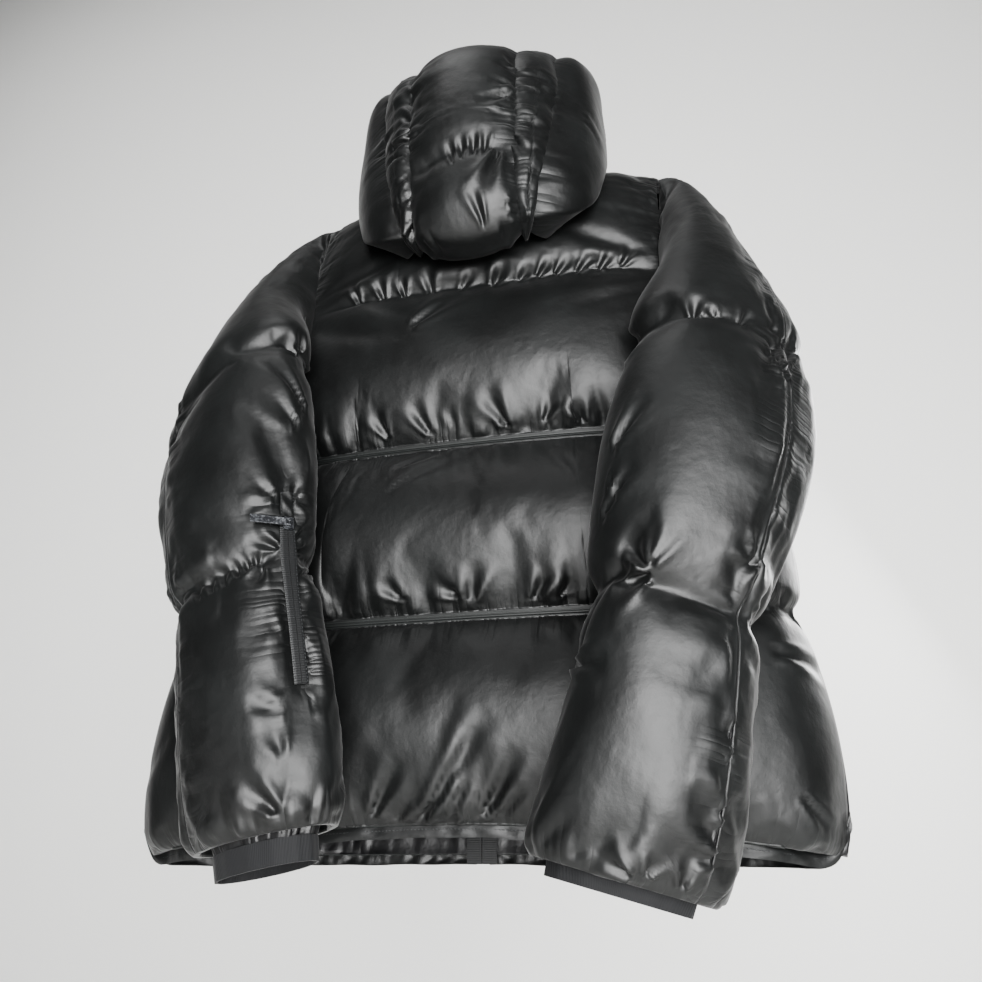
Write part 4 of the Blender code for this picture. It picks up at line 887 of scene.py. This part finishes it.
def ribbon(name, left, right, rows, columns, outward, profile, thick):
    # a strip between two rails; profile gives the rise over it at shares across and down
    bpy.ops.mesh.primitive_grid_add(x_subdivisions=columns, y_subdivisions=rows, size=1)
    piece = bpy.context.object
    piece.name = name
    place = points(piece.data)
    acrossAt, across = np.unique(np.round(place[:, 0], 5), return_inverse=True)
    downAt, down = np.unique(np.round(place[:, 1], 5), return_inverse=True)
    first, second = spread(left, len(downAt)), spread(right, len(downAt))
    share = (across / (len(acrossAt) - 1))[:, None]
    flat = first[down] * (1 - share) + second[down] * share
    out = unit(np.cross(second - first, np.gradient(first, axis=0)))
    out *= np.sign(out @ np.array(outward))[:, None]
    rise = np.array([profile(x, y) for x, y in zip(share[:, 0], down / (len(downAt) - 1))])
    setPoints(piece.data, flat + out[down] * rise[:, None])
    length = np.append(0, np.cumsum(np.linalg.norm(np.diff(first, axis=0), axis=1)))
    width = np.linalg.norm(second - first, axis=1)
    giveLay(piece, np.stack([length[down], share[:, 0] * width[down], np.zeros(len(down))], axis=1))
    startEdit(piece)
    bpy.ops.mesh.normals_make_consistent(inside=False)
    work = bmesh.from_edit_mesh(piece.data)
    middle = work.faces[:][len(work.faces) // 2]
    if middle.normal.dot(Vector(outward)) < 0:
        bpy.ops.mesh.flip_normals()
    endEdit()
    wall = piece.modifiers.new("wall", "SOLIDIFY")
    wall.thickness = thick
    wall.offset = -1
    bpy.ops.object.modifier_apply(modifier="wall")
    return piece


def setAlong(name, single, size, spots, axes, look, slot):
    # a small modelled shape is copied to every spot, turned to the three directions there
    shape = points(single.data) * size
    faces = [list(p.vertices) for p in single.data.polygons]
    bpy.data.objects.remove(single)
    verts, polygons = [], []
    for spot, turned in zip(spots, axes):
        polygons += [[i + len(verts) for i in face] for face in faces]
        verts += list(spot + shape @ turned)
    mesh = bpy.data.meshes.new(name)
    mesh.from_pydata([tuple(v) for v in verts], [], polygons)
    dress(addObject(name, mesh), look, slot)


stitchLook = {"pitch": 0.0032, "length": 0.0025, "thick": 0.00035}


def stitchRow(name, path, out, look=stitchLook):
    # stitches along the path, with the cloth's outward direction at each
    reach = np.append(0, np.cumsum(np.linalg.norm(np.diff(path, axis=0), axis=1)))
    at = np.arange(look["pitch"] / 2, reach[-1], look["pitch"])
    spots, up = (np.stack([np.interp(at, reach, rows[:, k]) for k in range(3)], axis=1)
                 for rows in (path, out))
    ahead = unit(np.gradient(spots, axis=0))
    side = unit(np.cross(up, ahead))
    axes = np.stack([ahead, side, np.cross(ahead, side)], axis=1)
    bpy.ops.mesh.primitive_uv_sphere_add(segments=6, ring_count=4, radius=1.0)
    size = (look["length"] / 2, look["thick"], look["thick"])
    setAlong(name, bpy.context.object, size, spots, axes, thread, "shell")


def tubeFrame(place):
    # axis, angle and height of points on a short tube
    middle = place.mean(axis=0)
    directions = np.linalg.eigh(np.cov((place - middle).T))[1]
    axis = directions[:, 0] * np.sign(directions[2, 0])
    wide = directions[:, 2]
    deep = np.cross(axis, wide)
    rel = place - middle
    return axis, np.arctan2(rel @ deep, rel @ wide), rel @ axis, middle


# hem band along the bottom of the back and the fronts, turned up and stitched
hemLook = {"below": 0.0095, "above": 0.0025, "off": 0.0035, "thick": 0.0016, "pucker": 0.0026,
           "wave": 0.0016, "rows": 150, "step": 0.009, "inset": 0.002, "crown": 0.0010, "stitched": 0.45,
           "stitchRise": 0.0012}


def relaxedLine(line, rounds=3):
    line = line.copy()
    for _ in range(rounds):
        line[1:-1] = line[1:-1] * 0.5 + (line[:-2] + line[2:]) * 0.25
    return line


def hemBand(name, panel, look):
    # a turned-up band hangs from the lower edge, where the outside meets the lining
    mesh = puffed[panel].data
    place = points(mesh)
    both = pointsIn(mesh, [liningSlot]) & pointsIn(mesh, [outsideSlot, stripSlot])
    rim = place[both & (place[:, 2] < -0.66)]
    low, high = rim[:, 0].min(), rim[:, 0].max()
    rail = []
    for x in np.linspace(low + look["inset"], high - look["inset"], int((high - low) / look["step"])):
        close = rim[np.argsort(np.abs(rim[:, 0] - x))[:5]]
        foot = close[np.argmin(close[:, 2])]
        rail.append((x, foot[1], foot[2]))
    rail = relaxedLine(np.array(rail))
    ahead = np.gradient(rail, axis=0)
    outward = unit(np.stack([ahead[:, 1], -ahead[:, 0], np.zeros(len(rail))], axis=1))
    outward *= np.sign(outward[len(rail) // 2, 1] * rail[len(rail) // 2, 1])
    lower = rail + outward * look["off"] - np.array((0, 0, look["below"]))
    lower[:, 2] += [look["wave"] * noise.noise(Vector((x * 22, 0.0, 5.0))) for x in rail[:, 0]]
    upper = rail + outward * look["off"] + np.array((0, 0, look["above"]))
    facing = outward[len(outward) // 2]

    def profile(x, y):
        crease = noise.noise(Vector((y * 46, x * 0.9, 2.0)))
        crease += 0.5 * noise.noise(Vector((y * 120 + x * 3, 0.0, 7.0)))
        bowed = math.sin(math.pi * x)
        return look["crown"] * bowed ** 0.5 + look["pucker"] * crease * bowed

    band = ribbon(name, upper * 1000, lower * 1000, look["rows"], 6, facing, profile, look["thick"])
    dress(band, nylon, "shell")
    line = spread((upper + (lower - upper) * look["stitched"]) * 1000, 2 * look["rows"])
    out = spread(outward * 1000, 2 * look["rows"])
    stitchRow(name + "_stitches", line + out * look["stitchRise"], out)


for panel in bodyPanels:
    hemBand("hem_band_" + panel, panel, hemLook)
print("hem done")


# cuffs: a gathered lining sleeve and a flat ribbed band
# drop is how much lower the gathered cuff comes out of each sleeve than its solid does
cuffLook = {"levels": 3, "pleat": 0.0024, "fine": 0.0052, "coarse": 0.013, "around": 0.042,
            "coarseShare": 0.8, "level": 0.9, "least": 0.35, "fuller": 1.12, "quicker": 1.3,
            "drop": {"left": 0.010, "right": 0.004}}
for side in ("left", "right"):
    storm = mergedCopy("storm_cuff_" + side + "_gathered", "storm_cuff_" + side)
    subdivide(storm, cuffLook["levels"])
    place, facing = points(storm.data), normalsOf(storm.data)
    axis, turn, height, middle = tubeFrame(place)
    radial = place - middle - np.outer((place - middle) @ axis, axis)
    radius = np.linalg.norm(radial, axis=1, keepdims=True)
    low = (height - height.min()) / np.ptp(height)
    moved = np.zeros(len(place))
    for k in range(len(place)):
        around = np.array((math.cos(turn[k]), math.sin(turn[k]), 0)) * cuffLook["around"]
        fold = lobes(around, cuffLook["fine"], 4.0) - cuffLook["level"]
        fold += cuffLook["coarseShare"] * lobes(around, cuffLook["coarse"], 7.0)
        bulging = math.sin(math.pi * min(low[k] * 0.9 + 0.08, 1.0))
        moved[k] = cuffLook["pleat"] * fold * (cuffLook["least"] + (1 - cuffLook["least"]) * bulging)
    drop = cuffLook["drop"][side]
    down = np.clip(1 - cuffLook["quicker"] * low, 0, 1) * drop
    setPoints(storm.data, place + radial / radius * moved[:, None] - np.outer(down, axis))
    dress(storm, lining, "inner_cuff", "storm_cuff_" + side)
    around = np.ptp(turn) * float(radius.mean())
    round(float(np.ptp(height)), 3)

    ribbed = mergedCopy("cuff_band_" + side + "_ribbed", "cuff_band_" + side)
    for edge in ribbed.data.edges:
        edge.use_edge_sharp = False
    work = bmesh.new()
    work.from_mesh(ribbed.data)
    keepSharp(work, 48)
    work.to_mesh(ribbed.data)
    work.free()
    subdivide(ribbed, 3)
    axis, turn, height, middle = tubeFrame(points(ribbed.data))
    low = (height - height.min()) / np.ptp(height)
    setPoints(ribbed.data, points(ribbed.data) - np.outer(low * drop, axis))
    height = height - low * drop
    spot = points(ribbed.data) - middle
    radius = float(np.linalg.norm(spot - np.outer(spot @ axis, axis), axis=1).mean())
    giveLay(ribbed, np.stack([turn * radius, height, np.zeros(len(turn))], axis=1))
    dress(ribbed, ribbing, "cuff_tape", "cuff_band_" + side)
    round(float(np.ptp(height)), 3)
print("cuffs done")


# sleeve zip: two coated tape halves that meet over the coil, its garage, slider and pull
# left and right are points on the tape's two edges, in millimetres
sleeveZip = {
    "left": [(118.1, 172.9, -451.1), (114.6, 173.3, -471.2), (112.3, 173.4, -482.8), (110.4, 173.7, -492.4),
             (106.7, 174.7, -510.4), (96.7, 175.9, -553.4), (86.6, 176.7, -598.9)],
    "right": [(125.4, 180.6, -453.2), (122.1, 181.5, -473.4), (120.3, 182.1, -485.1), (118.3, 182.3, -494.8),
              (114.0, 182.6, -512.6), (103.6, 183.1, -555.3), (93.4, 183.4, -600.5)],
    "out": (-0.671, 0.729, 0.137), "wider": 0.11, "rows": 60, "columns": 8, "thick": 0.0009,
    "rise": 0.0008, "rounded": 2.5, "slot": 0.035,
}


def widen(left, right, share):
    left, right = np.array(left, float), np.array(right, float)
    return left - (right - left) * share, right + (right - left) * share


zipLeft, zipRight = widen(sleeveZip["left"], sleeveZip["right"], sleeveZip["wider"])
zipLength = float(np.linalg.norm(np.diff(zipLeft, axis=0), axis=1).sum()) / 1000
tapeHalves = []
slot = sleeveZip["slot"] / 2
for number, (start, end) in enumerate(((0.0, 0.5 - slot), (0.5 + slot, 1.0))):
    def crown(x, y):
        # flat, but rounded down to the cloth at the outer edge
        inward = x if number == 0 else 1 - x
        return sleeveZip["rise"] * math.sin(math.pi / 2 * min(1.0, sleeveZip["rounded"] * inward))

    half = ribbon("sleeve_zip_tape_" + "ab"[number], zipLeft + (zipRight - zipLeft) * start,
                  zipLeft + (zipRight - zipLeft) * end, sleeveZip["rows"], sleeveZip["columns"],
                  sleeveZip["out"], crown, sleeveZip["thick"])
    dress(half, zipTape, "zip_tape", *(["sleeve_zip"] if number == 0 else []))
    tapeHalves.append(half)
makeActive(tapeHalves[0])
tapeHalves[1].select_set(True)
bpy.ops.object.join()

garageLook = {"left": [(121.1, 172.6, -428.0), (117.6, 173.2, -452.5)],
              "right": [(128.8, 180.6, -430.0), (125.4, 181.2, -454.6)],
              "wider": 0.05, "rows": 16, "columns": 12, "off": 0.0006, "rise": 0.0026, "least": 0.35,
              "crease": 0.0006, "thick": 0.0012}
garageLeft, garageRight = widen(garageLook["left"], garageLook["right"], garageLook["wider"])


def bulge(x, y):
    # the pocket stands up over the slider's end, with a soft crease or two
    domed = (1 - (2 * x - 1) ** 4) * (garageLook["least"] + (1 - garageLook["least"]) * y)
    crease = garageLook["crease"] * math.sin(9 * y + 5 * x)
    return garageLook["off"] + garageLook["rise"] * domed + crease


garage = ribbon("zip_garage_pocket", garageLeft, garageRight, garageLook["rows"], garageLook["columns"],
                sleeveZip["out"], bulge, garageLook["thick"])
dress(garage, nylon, "shell", "zip_garage")
out = np.array(sleeveZip["out"])
across = unit(zipRight[0] - zipLeft[0])
stitched = [(zipLeft, 0.0011, 0.0006), (zipRight, -0.0011, 0.0006), (garageLeft, 0.0008, 0.0016),
            (garageRight, -0.0008, 0.0016)]  # edge, how far in from it, how far off the cloth
for letter, (edge, inset, lift) in zip("abcd", stitched):
    path = spread(edge, 80) + across * inset + out * lift
    stitchRow("sleeve_zip_stitches_" + letter, path, np.tile(out, (80, 1)))
print("sleeve zip done")


# pulls: a cast plate with a sunk face and a bare panel, swinging on the slider's bridge
pullLook = {"length": 0.034, "width": 0.0072, "thick": 0.0014, "eye": (0.0007, 0.0034), "eyeHalf": 0.0017,
            "rim": 0.0009, "sunk": 0.0003, "round": 0.00028}


def pullPlate(name, node, body, pivot, reach, hinge, out):
    # modelled flat along X from the hinge line, then turned into place
    near, far = pullLook["eye"]
    half = pullLook["eyeHalf"]
    bpy.ops.mesh.primitive_cube_add(size=1)
    plate = bpy.context.object
    plate.name = name
    plate.scale = (pullLook["length"] + near, pullLook["width"], pullLook["thick"])
    plate.location = ((pullLook["length"] - near) / 2, 0, 0)
    bpy.ops.object.transform_apply(location=True, rotation=True, scale=True)
    startEdit(plate)
    for cut, along in ((near, (1, 0, 0)), (far, (1, 0, 0)), (-half, (0, 1, 0)), (half, (0, 1, 0))):
        bpy.ops.mesh.select_all(action="SELECT")
        bpy.ops.mesh.bisect(plane_co=Vector(along) * cut, plane_no=along)

    def flatAt(face, low, high, side):
        # whether a face on the plate's top or bottom lies between low and high, within side of the middle
        middle = face.calc_center_median()
        return abs(face.normal.z) > 0.9 and low < middle.x < high and abs(middle.y) < side

    choose(plate, "FACE", lambda face: flatAt(face, near, far, half))
    bpy.ops.mesh.bridge_edge_loops()
    choose(plate, "FACE", lambda face: flatAt(face, far, pullLook["length"], pullLook["width"]))
    bpy.ops.mesh.inset(thickness=pullLook["rim"], use_even_offset=True)
    bpy.ops.mesh.extrude_region_shrink_fatten(TRANSFORM_OT_shrink_fatten={"value": -pullLook["sunk"]})
    endEdit()
    rounding = plate.modifiers.new("rounding", "BEVEL")
    rounding.width = pullLook["round"]
    rounding.segments = 2
    rounding.limit_method = "ANGLE"
    bpy.ops.object.modifier_apply(modifier="rounding")
    turned = np.array([reach, hinge, out], float)
    setPoints(plate.data, np.array(pivot) + points(plate.data) @ turned)
    dress(plate, metal, "zip_metal", node)
    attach(plate, body)


# pivot, and the directions along the pull, along its hinge and off the cloth
pullPlate("sleeve_pull_plate", "sleeve_pull", "sleeve_pull", (0.11672, 0.18044, -0.45931),
          (0.72242, 0.68382, -0.10247), (-0.16811, 0.02995, -0.98531), (-0.67071, 0.72904, 0.1366))
pullPlate("front_pull_plate", "front_pull", "front_pull", (-0.02493, -0.07567, 0.01844),
          (-0.00192, 0.19514, -0.98077), (0.99653, 0.08199, 0.01436), (0.08322, -0.97734, -0.19462))
for node in ("sleeve_slider", "front_slider"):
    for place in nodes[node].material_slots:
        place.material = metal
print("pulls done")


# front zip: the two tapes keep their course, and the teeth are modelled once and set along it
frontZip = {
    "path": [(0, -67.5, -728), (0, -69.6, -646), (0, -68.9, -572), (0, -66.5, -520), (-0.1, -69.4, -463),
             (-2.1, -69.2, -397), (-6, -66.5, -334), (-8.1, -68.9, -301), (-13.4, -69.5, -235),
             (-18.5, -68, -170), (-20.7, -65.8, -140), (-23.1, -65.9, -99), (-24.3, -63.8, -74),
             (-25.1, -60.5, -53), (-26, -57.5, -28), (-26, -64, -10), (-26, -70.5, 8)],  # mm
    "pitch": 0.0029, "tooth": (0.00336, 0.0020, 0.0013), "corner": 0.22, "off": 0.0011, "run": 0.735,
    "lowFrom": -0.69, "lowOver": 0.02,
}
for side in ("left", "right"):
    halfTape = mergedCopy("front_zip_tape_" + side, "front_zip_" + side)
    startEdit(halfTape)
    bpy.ops.mesh.subdivide(number_cuts=3)
    endEdit()
    place = points(halfTape.data)
    # the tape runs down to the lower edge of the hem band
    low = np.clip((frontZip["lowFrom"] - place[:, 2]) / frontZip["lowOver"], 0, 1)
    place[:, 2] -= hemLook["below"] * low
    setPoints(halfTape.data, place)
    giveLay(halfTape, np.stack([place[:, 2], place[:, 0], place[:, 1]], axis=1))
    dress(halfTape, zipTape, "zip_tape", "front_zip_" + side)

course = spread(frontZip["path"], 2 * int(frontZip["run"] / frontZip["pitch"]))
ahead = unit(np.gradient(course, axis=0))
side = unit(np.array([1.0, 0.0, 0.0]) - ahead * ahead[:, :1])
axes = np.stack([side, np.cross(ahead, side), ahead], axis=1)
bpy.ops.mesh.primitive_cube_add(size=1)
tooth = bpy.context.object
startEdit(tooth)
bpy.ops.mesh.bevel(offset=frontZip["corner"], segments=1, affect="EDGES")
endEdit()
row = np.where(np.arange(len(course)) % 2, frontZip["off"], -frontZip["off"])  # the two rows mesh
setAlong("front_zip_teeth", tooth, frontZip["tooth"], course + side * row[:, None], axes, zipTeeth,
         "zip_tape")
print("front zip done")


low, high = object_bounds()
